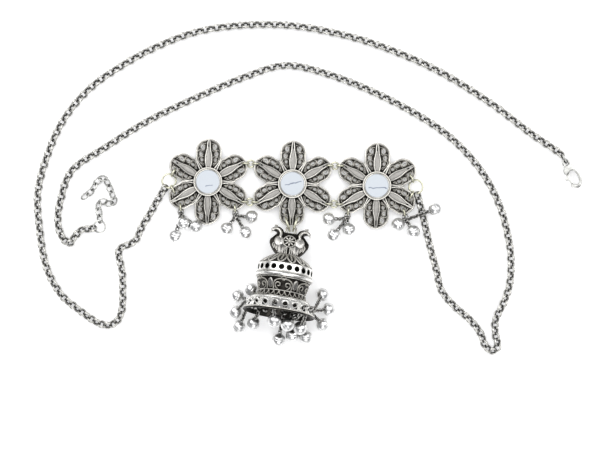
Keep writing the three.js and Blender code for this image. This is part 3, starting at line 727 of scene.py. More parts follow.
@dataclass
class Flower:
    """A pierced six-petalled plaque with a bezel and its mirror.

    Places on a petal are shares of the reach along it and of its half width across it.
    """

    side: str
    turn: float = -1.4
    petals: int = 6
    step: float = 60.0
    reach: float = 19.4
    half: float = 5.45
    notch: float = 11.4
    thick: float = 1.0
    low: float = 2.1
    rise: float = 0.7
    bezel: float = 6.4
    bezel_top: float = 4.6
    mirror_radius: float = 5.28
    outline: Sequence[Point] = (
        (0.60, 1.02), (0.68, 1.05), (0.76, 1.04), (0.83, 0.96), (0.89, 0.81), (0.94, 0.61), (0.975, 0.36),
    )
    leaf: Sequence[Point] = (
        (0.33, 0.14), (0.40, 0.22), (0.48, 0.255), (0.56, 0.255), (0.64, 0.215), (0.72, 0.15), (0.80, 0.105),
    )
    openings: Sequence[Point] = (
        (0.80, 0.50, 1.5, 2.3, 12), (0.64, 0.63, 1.3, 1.85, 0), (0.505, 0.56, 0.8, 1.2, 8),
    )
    tip_hole: Point = (0.893, 1.2, 1.4)
    inner_row: Sequence[Point] = (
        (0.37, 0.40), (0.50, 0.84), (0.62, 0.92), (0.74, 0.91), (0.84, 0.76), (0.91, 0.50), (0.95, 0.20),
    )
    filigree: Sequence[Sequence[Point]] = (
        ((0.845, 0.30), (0.83, 0.46), (0.795, 0.52), (0.775, 0.44)),
        ((0.69, 0.66), (0.67, 0.56), (0.635, 0.56), (0.62, 0.66)),
        ((0.72, 0.28), (0.745, 0.42), (0.715, 0.58), (0.74, 0.76)),
        ((0.56, 0.34), (0.585, 0.46), (0.56, 0.60), (0.585, 0.80)),
        ((0.40, 0.36), (0.435, 0.50), (0.42, 0.66)),
        ((0.89, 0.22), (0.88, 0.40), (0.865, 0.62)),
    )
    sweeps: Sequence[Sequence[Point]] = (
        ((0.36, 0.62), (0.44, 0.80), (0.53, 0.86), (0.575, 0.70), (0.56, 0.56)),
        ((0.70, 0.90), (0.735, 0.72), (0.72, 0.52), (0.70, 0.38)),
    )
    rim_wire: float = 0.75
    rib_wire: float = 0.62
    curl_wire: float = 0.38
    wire_lift: float = 0.05
    rib_lift: float = 0.22

    @property
    def place(self) -> Matrix:
        """The flower's place, from its mirror in the frame."""
        low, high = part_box(f"mirror_{self.side}")
        centre = (Vector(low) + Vector(high)) / 2
        return Matrix.Translation((centre.x, centre.y, 0)) @ Matrix.Rotation(math.radians(self.turn), 4, "Z")

    def top(self, r: float) -> float:
        """The height of the plate's upper face at a radius."""
        share = min(1, max(0, (self.reach - r) / (self.reach - self.bezel)))
        return self.low + self.thick / 2 + self.rise * share

    def at(self, along: float, across: float, k: int, lift: float = 0.0) -> Vector:
        """Finds a place on the plate.

        Args:
            along: the share of the reach.
            across: the share of the half width.
            k: the petal.
            lift: the height over the plate, in millimetres.

        Returns:
            The place, in millimetres.
        """
        a = math.radians(self.step * (k + 0.5))
        x, y = along * self.reach, across * self.half
        flat = Vector((x * math.cos(a) - y * math.sin(a), x * math.sin(a) + y * math.cos(a), 0))
        return flat + UP * (self.top(flat.length) + lift)

    def line(self, points: Iterable[Point], k: int, side: int, lift: float, spacing: float) -> list[Vector]:
        """Runs a smooth line over a petal.

        Args:
            points: shares along and across.
            k: the petal.
            side: 1 for its left half, -1 for its right half.
            lift: the height over the plate, in millimetres.
            spacing: the distance between the places, in millimetres.

        Returns:
            The places along the line.
        """
        return smooth_line([self.at(a, side * b, k, lift) for a, b in points], spacing)

    def laid(self, flat: Iterable[Vector]) -> list[Vector]:
        """Lays flat places on the plate's upper face."""
        return [Vector((p.x, p.y, self.top(p.to_2d().length) + self.wire_lift)) for p in flat]

    def round_openings(self, k: int, wider: float, sides: int) -> list[list[Vector]]:
        """Draws the outlines of a petal's openings.

        Args:
            k: the petal.
            wider: how much larger than the openings the outlines are, in millimetres.
            sides: the points of each.

        Returns:
            The outlines, left and right in turn.
        """
        spin = self.step * (k + 0.5) - 90
        outlines = []
        for along, across, width, length, lean in self.openings:
            for side in (-1, 1):
                p = self.at(along, side * across, k)
                outlines.append(oval(p.x, p.y, width + wider, length + wider, sides, spin + side * lean))
        return outlines

    def petal_edge(self, k: int) -> list[Vector]:
        """One petal's edge, from its notch round the tip to the next notch.

        Args:
            k: the petal.

        Returns:
            The places along the edge.
        """
        down = [self.at(a, -b, k) for a, b in self.outline]
        back = [self.at(a, b, k) for a, b in reversed(self.outline)]
        first, last = (
            Vector((self.notch * math.cos(a), self.notch * math.sin(a), 0))
            for a in (math.radians(self.step * k), math.radians(self.step * (k + 1)))
        )
        return [first, *down, self.at(1, 0, k), *back, last]

    def bend(self, piece: bpy.types.Object) -> bpy.types.Object:
        """Lifts a flat piece, drawn from height 0, on to the dished plate.

        Args:
            piece: the flat piece.

        Returns:
            The same piece.
        """
        for v in piece.data.vertices:
            r = math.hypot(v.co.x, v.co.y) / MM
            v.co.z += (self.top(r) - self.thick) * MM
        return piece

    def plate(self) -> bpy.types.Object:
        """The pierced plate; four of its petals have a hole at the tip too.

        Returns:
            The plate, at the origin.
        """
        outline, holes = [], []
        along, width, length = self.tip_hole
        for k in range(self.petals):
            outline += self.petal_edge(k)[:-1]
            holes += self.round_openings(k, 0, 16)
            if k % 3 != 1:
                p = self.at(along, 0, k)
                holes.append(oval(p.x, p.y, width, length, 14, self.step * (k + 0.5) - 90))
        return self.bend(plate(f"flower_{self.side}_plate", [outline, *holes], 0, self.thick, 0.14))

    def rims(self) -> bpy.types.Object:
        """The raised rims, which run on from the notches to the bezel.

        Returns:
            The rims of all the petals.
        """
        paths = []
        for k in range(self.petals):
            inset = [p - (p - self.at(0.75, 0, k)).normalized() * 0.3 for p in self.petal_edge(k)]
            a, b = math.radians(self.step * k + 5), math.radians(self.step * (k + 1) - 5)
            root = [Vector((self.bezel * math.cos(t), self.bezel * math.sin(t), 0)) for t in (a, b)]
            flat = [Vector((p.x, p.y, 0)) for p in (root[0], *inset, root[1])]
            paths.append(self.laid(smooth_line(flat, 0.9)))
        return wires("rims", paths, self.rim_wire, sides=2)

    def ribs(self) -> bpy.types.Object:
        """The two ribs of each petal's leaf, which meet in a point.

        Returns:
            The ribs of all the petals.
        """
        paths = []
        for k in range(self.petals):
            for side in (-1, 1):
                line = self.line(self.leaf, k, side, self.rib_lift, 0.8)
                paths.append([*line, self.at(0.89, side * 0.095, k, 0.1), self.at(0.97, side * 0.05, k, 0.0)])
        return wires("ribs", paths, self.rib_wire, sides=2)

    def curls(self) -> bpy.types.Object:
        """The scroll wires round the openings and beside them, and a fine line inside each rim.

        Returns:
            The wires of all the petals.
        """
        paths, inner = [], []
        for k in range(self.petals):
            paths += [self.laid([*ring, ring[0]]) for ring in self.round_openings(k, 0.4, 14)]
            for side in (-1, 1):
                paths += [self.line(row, k, side, self.wire_lift, 0.5) for row in self.filigree]
                paths += [self.line(row, k, side, self.wire_lift, 0.7) for row in self.sweeps]
                inner.append(self.line(self.inner_row, k, side, self.wire_lift, 0.8))
        return wires(f"flower_{self.side}_curls", [*paths, *inner], self.curl_wire)

    def panels(self) -> bpy.types.Object:
        """The satin panels of the leaves, each with a slight crown.

        Returns:
            The panels of all the petals.
        """
        made = []
        for k in range(self.petals):
            right = [self.at(a, -b, k) for a, b in self.leaf]
            left = [self.at(a, b, k) for a, b in reversed(self.leaf)]
            edge = smooth_line([Vector((p.x, p.y, 0)) for p in (*right, *left)], 0.8, closed=True)
            made.append(self.bend(plate(f"panel_{k}", [edge], self.thick - 0.2, self.thick + 0.22, 0.1)))
        return join(f"flower_{self.side}_panels", made)

    def cup(self) -> bpy.types.Object:
        """The bezel cup: foot, bright outer ring, groove and inner ring.

        Returns:
            The cup.
        """
        top, r = self.bezel_top, self.bezel
        profile = [
            (0, 0), (5.0, 0), (5.0, 3.0), (r, 3.0), (r + 0.1, 3.4), (r + 0.1, top - 0.3), (r - 0.05, top),
            (r - 0.35, top), (r - 0.52, top - 0.15), (r - 0.56, top - 0.8), (r - 0.84, top - 0.8),
            (r - 0.88, top - 0.15), (r - 1.02, top - 0.1), (r - 1.1, top - 0.25), (r - 1.1, 3.1), (0, 3.1),
        ]
        return turned(f"flower_{self.side}_bezel", profile, 64)

    def glass(self) -> bpy.types.Object:
        """The mirror, with a small bevel round its face."""
        r = self.mirror_radius
        profile = [(0, 3.4), (r, 3.4), (r, 4.15), (r - 0.15, 4.3), (0, 4.3)]
        return turned(f"mirror_glass_{self.side}", profile, 64)

    def build(self) -> None:
        """Builds and dresses the flower and its mirror."""
        bright = join(f"flower_{self.side}_ribs", [self.rims(), self.ribs()])
        curls = self.curls()
        glass = self.glass()
        for piece, finish, slot, nodes in (
            (self.plate(), ANTIQUE, Slot.OXIDISED, [f"flower_{self.side}"]),
            (bright, BRIGHT_RIM, Slot.OXIDISED, []),
            (curls, SCROLL, Slot.OXIDISED, []),
            (self.panels(), SATIN, Slot.OXIDISED, []),
            (self.cup(), BEZEL_SILVER, Slot.OXIDISED, []),
            (glass, MIRRORS[self.side], Slot.MIRROR, [f"mirror_{self.side}"]),
        ):
            bake_place(piece).data.transform(self.place)
            dress(piece, finish, nodes)


@dataclass
class Ring:
    """A round jump ring that takes the place of a ring of the frame."""

    node: str
    wire: float = 0.68
    finish: Finish = PALE_WIRE
    slot: Slot = Slot.PALE

    def measure(self) -> tuple[Vector, Vector, float]:
        """Measures the ring's node.

        Returns:
            Its centre, its normal and its mean radius, in millimetres.
        """
        points = node_points(self.node)
        centre = points.mean(axis=0)
        axes = np.linalg.svd(points - centre, full_matrices=False)[2]
        flat = (points - centre) - np.outer((points - centre) @ axes[2], axes[2])
        return Vector(centre), Vector(axes[2]), float(np.linalg.norm(flat, axis=1).mean())

    def build(self) -> None:
        """Builds and dresses the ring."""
        centre, normal, radius = self.measure()
        ring = torus(radius, self.wire / 2, 32, 10)
        ring.name = f"{self.node}_round"
        place = normal.to_track_quat("Z", "Y").to_matrix().to_4x4()
        place.translation = centre * MM
        bake_place(ring).data.transform(place)
        dress(ring, self.finish, (self.node,))


@dataclass
class LinkChain:
    """A chain of round links, laid along given points."""

    name: str
    node: str
    points: Sequence[Point]
    height: float
    pitch: float
    link_radius: float
    wire: float
    stretch: float
    tilt: float
    finish: Finish
    slot: Slot
    flatness: float = 1.0

    def link(self) -> bpy.types.Object:
        """One link, flattened a little as the real ones are."""
        link = torus(self.link_radius, self.wire / 2, 16, 6)
        link.scale = (self.stretch, 1, self.flatness)
        return link

    def build(self) -> None:
        """Builds and dresses the chain."""
        centres = smooth_line([(*p[:2], self.height) for p in self.points], self.pitch)
        chain = join(self.name, copies(self.link(), links_along(centres, self.tilt)))
        log.info("%s: %d links", self.name, len(centres))
        dress(chain, self.finish, (self.node,))


LEFT_ROUTE = [
    (-61.0, -8.1), (-63.7, -13.1), (-67.4, -19.0), (-70.4, -25.4), (-74.4, -27.6), (-77.6, -29.2),
    (-77.9, -32.4), (-76.4, -39.2), (-76.1, -48.0), (-76.4, -56.2), (-78.4, -61.2), (-82.2, -63.4),
    (-87.7, -62.1), (-97.0, -55.6), (-104.2, -49.1), (-110.3, -37.6),
    (-113.4, -20.7), (-114.2, -3.8), (-109.6, 13.8), (-102.2, 29.5),
    (-90.7, 43.0), (-76.0, 53.4), (-60.5, 61.7), (-43.7, 68.0), (-26.3, 70.9), (-6.2, 71.4), (11.4, 69.3),
    (34.8, 63.5), (62.7, 52.1), (88.0, 36.9), (106.9, 22.7), (119.0, 14.6),
]
RIGHT_ROUTE = [
    (59.2, -17.1), (61.9, -28.7), (64.6, -38.6), (66.8, -47.7), (72.7, -54.9), (79.9, -61.2), (84.4, -67.0),
    (86.4, -72.4), (89.6, -75.0), (92.2, -72.8), (91.2, -68.0), (91.1, -61.2), (94.7, -53.6), (97.4, -45.5),
    (98.1, -36.5), (97.4, -27.0), (93.4, -10.8), (85.3, 5.0), (73.1, 18.9), (58.3, 29.7), (36.9, 41.0),
    (14.4, 49.7), (-3.4, 53.1), (-20.7, 48.2), (-43.2, 38.7), (-64.5, 28.4), (-84.7, 15.9), (-99.0, 5.9),
    (-104.1, -7.7), (-105.2, -17.4), (-103.2, -24.0), (-100.0, -26.6), (-97.6, -23.6), (-94.6, -20.6),
    (-91.4, -20.2),
]
EXTENDER_ROUTE = [
    (-86.4, -13.9), (-87.1, -11.6), (-86.9, -9.2), (-84.8, -7.9), (-82.3, -8.8), (-80.3, -8.6), (-80.6, -5.4),
    (-82.2, -1.5), (-83.9, 2.0), (-86.3, 2.4), (-88.4, -0.4), (-90.9, -3.9), (-93.1, -5.5),
]
JOIN_GRIP = 3.95
LINK_REACH = 1.8
CLASP_AIM = Vector((122.3, 11.6, 0))
EXTENDER_AIM = Vector((-80, -18.6, 0))


def flat_towards(start: Point, to: Point, distance: float) -> Vector:
    """Steps from one place towards another, both taken flat.

    Args:
        start: the first place.
        to: the other place.
        distance: the length of the step, in millimetres.

    Returns:
        The place that the step reaches.
    """
    a, b = Vector((start[0], start[1], 0)), Vector((to[0], to[1], 0))
    return a + (b - a).normalized() * distance


@dataclass
class Chains:
    """The two long chains and the extender."""

    height: float = 1.9
    extender_height: float = 1.6
    hook_clear: float = 0.85

    def build(self) -> None:
        """Builds the three chains between the rings of the frame."""
        hook, _, hook_radius = Ring("extender_ring").measure()
        for side, route, aim in (("left", LEFT_ROUTE, CLASP_AIM), ("right", RIGHT_ROUTE, EXTENDER_AIM)):
            joint = Ring(f"ring_side_{side}_join").measure()[0]
            first = flat_towards(joint, route[0], JOIN_GRIP)
            last = flat_towards(route[-1], aim, LINK_REACH)
            LinkChain(
                name=f"chain_{side}_links", node=f"chain_{side}", points=[first, *route, last],
                height=self.height, pitch=2.6, link_radius=1.66, wire=0.92, stretch=1.0, tilt=45,
                finish=CHAIN_SILVER, slot=Slot.OXIDISED, flatness=1.4,
            ).build()
        first = flat_towards(hook, EXTENDER_ROUTE[0], hook_radius + self.hook_clear)
        LinkChain(
            name="extender_links", node="extender_chain", points=[first, *EXTENDER_ROUTE],
            height=self.extender_height, pitch=3.0, link_radius=1.5, wire=0.78, stretch=1.25, tilt=38,
            finish=WHITE_SILVER, slot=Slot.BRIGHT,
        ).build()


@dataclass
class Balls:
    """The hollow balls, each on a stub of fine dark curb chain."""

    radius: float = 3.0
    height: float = 3.03
    stem: float = 0.5
    slit: Point = (0.55, 4.4, 1.5)
    curb_pitch: float = 1.45
    curb_radius: float = 0.85
    curb_wire: float = 0.66
    curb_stretch: float = 1.3

    def template(self) -> bpy.types.Object:
        """One ball: a seamed sphere with a slit below and a small cap on top.

        Returns:
            The ball, at the origin with its cap up.
        """
        r = self.radius
        half = [(r * math.cos(a), r * math.sin(a)) for a in np.linspace(math.radians(5), math.radians(80), 9)]
        profile = [(0, -r), *[(x, -y) for x, y in reversed(half)], (r - 0.16, 0), *half, (0.75, r - 0.02),
                   (0.7, r + 0.3), (0, r + 0.35)]
        ball = turned("ball", profile, 28)
        bpy.ops.mesh.primitive_cube_add(size=MM, location=(0, 0, -r * MM))
        slit = bpy.context.object
        slit.scale = self.slit
        cut_with(ball, bake_place(slit))
        return ball

    def place(self, centre: Vector, towards: Vector) -> Matrix:
        """Finds a ball's place.

        Args:
            centre: its centre, in millimetres.
            towards: the end of the chain that holds it, where its cap points.

        Returns:
            The place as a matrix, in metres.
        """
        matrix = (towards - centre).to_track_quat("Z", "Y").to_matrix().to_4x4()
        matrix.translation = centre * MM
        return matrix

    def curb(self, path: Sequence[Vector]) -> list[bpy.types.Object]:
        """Lays small twisted links along a path.

        Args:
            path: the chosen points, in millimetres.

        Returns:
            The links.
        """
        link = torus(self.curb_radius, self.curb_wire / 2, 10, 5)
        link.scale = (self.curb_stretch, 1, 1)
        return copies(link, links_along(smooth_line(path, self.curb_pitch), 45))


CLUSTERS = {
    1: ((-48.7, -17.6), (-43.2, -19.2), (-52.4, -23.4)),
    2: ((-29.4, -20.1), (-20.9, -22.0), (-18.2, -14.9)),
    3: ((16.2, -15.8), (18.4, -23.0), (25.4, -20.5)),
    4: ((47.3, -18.2), (54.2, -21.4), (63.9, -11.4)),
}
OVER_CHAIN = (4, 2)


@dataclass
class Cluster:
    """Three balls that hang from one petal ring."""

    number: int
    over_chain: float = 4.7
    under_rings: float = 2.9
    link_radius: float = 1.25
    link_wire: float = 0.64
    link_clear: float = 0.4
    tail_clear: float = 1.7

    def build(self, balls: Balls) -> None:
        """Builds and dresses the tail link, the curb chains and the balls.

        Args:
            balls: the kind of ball that hangs here.
        """
        node = f"cluster_{self.number}"
        centre, normal, radius = Ring(f"ring_dangle_{self.number}").measure()
        middle = sum((Vector((*p, 0)) for p in CLUSTERS[self.number]), Vector()) / 3
        away = UP.cross(normal).normalized()
        if away.dot(middle - centre) < 0:
            away = -away
        tail = centre + away * (radius + self.tail_clear)
        link = torus(self.link_radius, self.link_wire / 2, 20, 8)
        placed = copies(link, [Matrix.Translation((centre + away * (radius + self.link_clear)) * MM)])
        places = []
        for i, (x, y) in enumerate(CLUSTERS[self.number]):
            at = Vector((x, y, balls.height))
            over = self.over_chain if (self.number, i) == OVER_CHAIN else self.under_rings
            mid = tail.lerp(at, 0.5)
            mid.z = over
            near = at + Vector((mid.x - x, mid.y - y, 0)).normalized() * (balls.radius + balls.stem)
            near.z = min(over, at.z + 0.8)
            placed += balls.curb([tail, mid, near])
            places.append(balls.place(at, near))
        dress(join(f"{node}_curb", placed), DARK_CURB)
        dress(join(f"{node}_balls", copies(balls.template(), places)), BALL_SILVER, (node,))


@dataclass
class Clasp:
    """The claw clasp: its body with the rivet, and the sprung lever."""

    eye: Point = (122.73, 9.35)
    base: float = 1.2
    turn: float = -151.4
    length: float = 12.4
    half: float = 3.2
    thick: float = 2.2
    claw: Sequence[Point] = (
        (0.07, -0.42), (0.24, -0.85), (0.50, -1.0), (0.74, -0.92), (0.92, -0.5), (1.0, 0.0), (0.97, 0.5),
        (0.88, 0.86), (0.79, 0.92), (0.77, 0.62), (0.84, 0.2), (0.86, -0.1), (0.80, -0.4), (0.66, -0.56),
        (0.50, -0.56), (0.38, -0.42), (0.33, 0.0), (0.38, 0.5), (0.37, 0.86), (0.26, 0.9), (0.14, 0.62),
        (0.07, 0.42), (-0.10, 0.42), (-0.16, 0.0), (-0.10, -0.42),
    )
    lever: Sequence[Point] = (
        (0.225, 0.22), (0.225, 0.66), (0.33, 0.8), (0.45, 0.86), (0.50, 1.22), (0.57, 1.22), (0.60, 0.86),
        (0.745, 0.80), (0.745, 0.48), (0.45, 0.42), (0.34, 0.16),
    )
    pivot: Point = (0.28, 0.42)
    slot_area: Point = (0.155, 0.40, -0.30, 1.3)
    slot_height: float = 1.2
    eye_width: float = 2.2
    bore: float = 1.4
    lever_span: Point = (0.7, 1.5)

    def local(self, point: Point) -> Vector:
        """A place from shares of the clasp's length and half width."""
        return Vector((point[1] * self.half, point[0] * self.length, 0))

    def rivet(self) -> bpy.types.Object:
        """The rivet that the lever turns on.

        Returns:
            The rivet, at its place in the clasp.
        """
        top = self.thick
        profile = [(0, 0.05), (0.65, 0.05), (0.7, 0.2), (0.5, 0.35), (0.5, top - 0.35), (0.7, top - 0.2),
                   (0.65, top - 0.05), (0, top)]
        pin = turned("rivet", profile, 20)
        pin.data.transform(Matrix.Translation(self.local(self.pivot) * MM))
        return pin

    def body(self) -> bpy.types.Object:
        """The claw with its eye, its slot and the rivet.

        Returns:
            The body, before it is turned to its place.
        """
        outline = smooth_line([self.local(p) for p in self.claw], 0.6, closed=True)
        claw = plate("claw", [outline, oval(0, 0, self.eye_width, self.eye_width, 20)], 0, self.thick, 0.45)
        low, high, near, far = self.slot_area
        a, b = self.local((low, near)), self.local((high, far))
        bpy.ops.mesh.primitive_cube_add(size=1, location=(*((a + b) / 2 * MM).xy, self.thick / 2 * MM))
        slot = bpy.context.object
        slot.scale = ((b.x - a.x) * MM, (b.y - a.y) * MM, self.slot_height * MM)
        cut_with(claw, bake_place(slot))
        return join("clasp_claw", [claw, self.rivet()])

    def thumb_lever(self) -> bpy.types.Object:
        """The sprung lever, bored for the rivet.

        Returns:
            The lever, before it is turned to its place.
        """
        at = self.local(self.pivot)
        edge = smooth_line([self.local(p) for p in self.lever], 0.4, closed=True)
        hole = oval(at.x, at.y, self.bore, self.bore, 16)
        return plate("clasp_thumb_lever", [edge, hole], *self.lever_span, 0.15)

    def build(self) -> None:
        """Builds and dresses the body and the lever."""
        place = Matrix.Translation((self.eye[0] * MM, self.eye[1] * MM, self.base * MM))
        place = place @ Matrix.Rotation(math.radians(self.turn), 4, "Z")
        for piece, node, body in (
            (self.body(), "clasp_body", BODY),
            (self.thumb_lever(), "clasp_lever", LEVER_BODY),
        ):
            piece.data.transform(place)
            dress(piece, WHITE_SILVER, (node,), body)


@dataclass(frozen=True)
class HoleRow:
    """A row of round holes about the bell; at is shares along it and of its radius."""

    at: Point
    count: int
    width: float
    tilt: float = 0.0


@dataclass
class Bell:
    """The bell drop: peacock hanger, dome, pierced band, scrolled drum and flange.

    Places on the bell are a share along it, an angle from its upper side and a lift off it. Places on the
    hanger are distances across and along, and a lift off its middle.
    """

    apex: Point = (-2.145, -31.776, 10.776)
    loop: Point = (-0.5, -20.9, 5.2)
    turn: float = 8.6
    slope: float = 10.97
    length: float = 26.6
    radius: float = 16.0
    hanger: float = 11.0
    outside: Sequence[Point] = (
        (0.0, 0.18), (0.02, 0.30), (0.05, 0.42), (0.085, 0.52), (0.12, 0.60), (0.16, 0.675),
        (0.20, 0.735), (0.205, 0.75), (0.35, 0.75), (0.355, 0.765), (0.37, 0.80), (0.39, 0.808),
        (0.41, 0.795), (0.43, 0.735), (0.65, 0.63), (0.66, 0.65), (0.68, 0.672), (0.70, 0.66),
        (0.74, 0.68), (0.755, 0.765), (0.975, 0.985), (0.985, 1.0), (1.0, 0.995), (1.005, 0.97),
    )
    inside: Sequence[Point] = (
        (0.98, 0.935), (0.77, 0.705), (0.65, 0.56), (0.42, 0.66), (0.22, 0.66), (0.05, 0.34),
    )
    holes: int = 20
    band_holes: int = 22
    band_at: Point = (0.278, 0.75)
    flange_at: Point = (0.88, 0.885)
    hole_width: float = 2.3
    band_width: float = 2.55
    drill_depth: float = 4.0
    panels: int = 6
    leaves: int = 28
    dome_fans: int = 14
    hoops: Sequence[Point] = (
        (0.21, -0.1, 0.75), (0.348, 0.1, 0.75), (0.435, 0.1, 0.5), (0.655, 0.1, 0.55), (0.765, 0.1, 0.6),
        (0.972, -0.3, 0.9),
    )
    moulding: Point = (0.388, -0.95, 2.0)
    flange_hoop: Point = (0.79, 0.1, 1.0)
    flange_skin: Sequence[Point] = ((0.775, -0.3), (0.775, 0.25), (0.955, 0.1), (0.955, -0.3), (0.775, -0.3))
    arch: Sequence[Point] = ((0.640, 0.37), (0.56, 0.385), (0.50, 0.30), (0.475, 0.14), (0.47, 0.0))
    neck_leaf: Sequence[Point] = ((0.665, 0.10), (0.70, 0.09), (0.745, 0.0), (0.70, -0.09), (0.665, -0.10))
    dome_leaf: Sequence[Point] = ((0.015, 0.0), (0.06, 0.20), (0.11, 0.19), (0.165, 0.10), (0.197, 0.0))
    dome_vein: Point = (0.05, 0.085, 0.12, 0.16)
    bird_neck: Sequence[Point] = (
        (2.6, 6.6, 0.9), (4.3, 4.6, 1.2), (4.2, 2.6, 1.2), (5.4, 0.9, 1.1), (7.1, 0.6, 1.0), (8.1, 1.4, 0.9),
    )
    beak: Sequence[Point] = ((8.1, 1.4, 0.9), (8.7, 2.1, 0.8), (8.8, 2.9, 0.6))
    hanger_half: Sequence[Point] = (
        (0.16, 0.0), (0.16, 0.30), (0.03, 0.42), (-0.06, 0.62), (-0.02, 0.86), (0.10, 1.0), (0.12, 0.78),
        (0.22, 0.66), (0.38, 0.80), (0.60, 0.98), (0.86, 0.86), (1.10, 0.62), (1.22, 0.34),
    )
    hanger_width: float = 9.0
    star_at: float = 6.16

    def frame(self, place: Point, pitch: float) -> Matrix:
        """Makes a frame with Z along the bell, X to its right and Y to its upper side.

        Args:
            place: the origin, in millimetres.
            pitch: how far the Z axis rises, in radians.

        Returns:
            The frame's matrix, in metres.
        """
        spin = Matrix.Rotation(math.radians(-self.turn), 3, "Z")
        flat = spin @ Vector((0, -1, 0))
        along = flat * math.cos(pitch) + UP * math.sin(pitch)
        right = spin @ Vector((1, 0, 0))
        matrix = Matrix((right, along.cross(right), along)).transposed().to_4x4()
        matrix.translation = Vector(place) * MM
        return matrix

    @property
    def bell_frame(self) -> Matrix:
        """The frame of the bell's body."""
        return self.frame(self.apex, math.radians(self.slope))

    @property
    def hanger_frame(self) -> Matrix:
        """The frame of the hanger, between the loop and the dome."""
        return self.frame(self.loop, math.atan2(self.apex[2] - self.loop[2], self.hanger))

    @property
    def band_row(self) -> HoleRow:
        """The holes of the band."""
        return HoleRow(self.band_at, self.band_holes, self.band_width)

    @property
    def flange_row(self) -> HoleRow:
        """The holes of the flange, square to its flare."""
        flare = math.atan2(0.22 * self.radius, 0.22 * self.length)
        return HoleRow(self.flange_at, self.holes, self.hole_width, -flare)

    def skin(self, t: float, angle: float, lift: float = 0.0) -> Vector:
        """Finds a place on the outside.

        Args:
            t: the share along the bell.
            angle: the angle from the upper side, in radians.
            lift: the distance off the outside, in millimetres.

        Returns:
            The place in the bell's frame, in millimetres.
        """
        shares, radii = zip(*self.outside)
        r = float(np.interp(t, shares, radii)) * self.radius + lift
        return Vector((-r * math.sin(angle), r * math.cos(angle), t * self.length))

    def skin_line(self, points: Iterable[Point], angle: float, side: int, lift: float,
                  spacing: float) -> list[Vector]:
        """Runs a smooth line over the outside.

        Args:
            points: shares along the bell and angles.
            angle: the angle that theirs are added to.
            side: 1 or -1, which mirrors their angles.
            lift: the distance off the outside, in millimetres.
            spacing: the distance between the places, in millimetres.

        Returns:
            The places along the line.
        """
        return smooth_line([self.skin(t, angle + side * a, lift) for t, a in points], spacing)

    def hole_frames(self, row: HoleRow) -> list[Matrix]:
        """Makes a frame for each hole of a row.

        Args:
            row: the holes.

        Returns:
            The frames, each with its Z outwards.
        """
        flat = Matrix.Translation((0, row.at[1] * self.radius * MM, row.at[0] * self.length * MM))
        lean = Matrix.Rotation(-math.pi / 2 - row.tilt, 4, "X")
        angles = (2 * math.pi * (i + 0.5) / row.count for i in range(row.count))
        return [Matrix.Rotation(angle, 4, "Z") @ flat @ lean for angle in angles]

    def drilled(self, piece: bpy.types.Object, *rows: HoleRow) -> bpy.types.Object:
        """Drills rows of holes through a turned piece.

        Args:
            piece: the piece.
            *rows: the holes.

        Returns:
            The same piece, smoothed up to its edges.
        """
        for row in rows:
            deselect()
            bpy.ops.mesh.primitive_cylinder_add(
                vertices=20, radius=row.width / 2 * MM, depth=self.drill_depth * MM
            )
            cut_with(piece, join("drills", copies(bpy.context.object, self.hole_frames(row))))
        only(piece)
        bpy.ops.object.shade_smooth_by_angle(angle=math.radians(35))
        return piece

    def shell(self) -> bpy.types.Object:
        """The turned shell with both rows of holes cut through."""
        scale = [(r * self.radius, t * self.length) for t, r in (*self.outside, *self.inside)]
        shell = turned("bell_shell", [(0, 0), *scale, (0, 0.05 * self.length)], 80)
        return self.drilled(shell, self.band_row, self.flange_row)

    def sleeve(self) -> bpy.types.Object:
        """The bright sleeve over the band, with its own holes.

        Returns:
            The sleeve.
        """
        r = self.radius
        low, high = 0.212 * self.length, 0.343 * self.length
        edge = [(0.735 * r, low), (0.768 * r, low), (0.768 * r, high), (0.735 * r, high), (0.735 * r, low)]
        return self.drilled(turned("sleeve", edge, 80), self.band_row)

    def flange_sleeve(self) -> bpy.types.Object:
        """The bright sleeve over the flange, with its own holes."""
        edge = [(self.skin(t, 0, lift).y, t * self.length) for t, lift in self.flange_skin]
        return self.drilled(turned("flange_sleeve", edge, 80), self.flange_row)

    def around(self, t: float, lift: float, wire: float) -> bpy.types.Object:
        """Lays a wire round the bell.

        Args:
            t: the share along the bell.
            lift: how far the wire's middle is off the outside, in millimetres.
            wire: its diameter, in millimetres.

        Returns:
            The wire.
        """
        ring = [self.skin(t, a, lift) for a in np.linspace(0, 2 * math.pi, 96, endpoint=False)]
        return wires("hoop", [ring], wire, closed=True, sides=2)

    def eyelets(self) -> bpy.types.Object:
        """The raised ring round each hole of the flange."""
        ring = torus(self.hole_width / 2 + 0.25, 0.45, 20, 6)
        return join("eyelets", copies(ring, self.hole_frames(self.flange_row)))

    def grains(self) -> bpy.types.Object:
        """Small grains between the eyelets, on both sides of the row.

        Returns:
            The grains.
        """
        grain = bead(0.42, 10, 6)
        angles = [2 * math.pi * i / self.holes for i in range(self.holes)]
        spots = [self.skin(t, angle, 0.05) for angle in angles for t in (0.81, 0.955)]
        return join("grains", copies(grain, [Matrix.Translation(spot * MM) for spot in spots]))

    def spiral(self, t: float, angle: float, side: int, size: float) -> list[Vector]:
        """Draws one scroll on the drum, which curls in towards its own middle.

        Args:
            t: the middle's share along the bell.
            angle: the middle's angle.
            side: 1 or -1, the way that it turns.
            size: its first radius, in millimetres.

        Returns:
            The places along the scroll.
        """
        line = []
        for i in range(22):
            s = i / 21
            turn, r = s * 2.3 * math.pi, size * (1 - 0.82 * s)
            across, along = side * r * math.sin(turn), r * math.cos(turn)
            spread = across / (0.69 * self.radius)
            line.append(self.skin(t + along / self.length, angle + spread, 0.12))
        return line

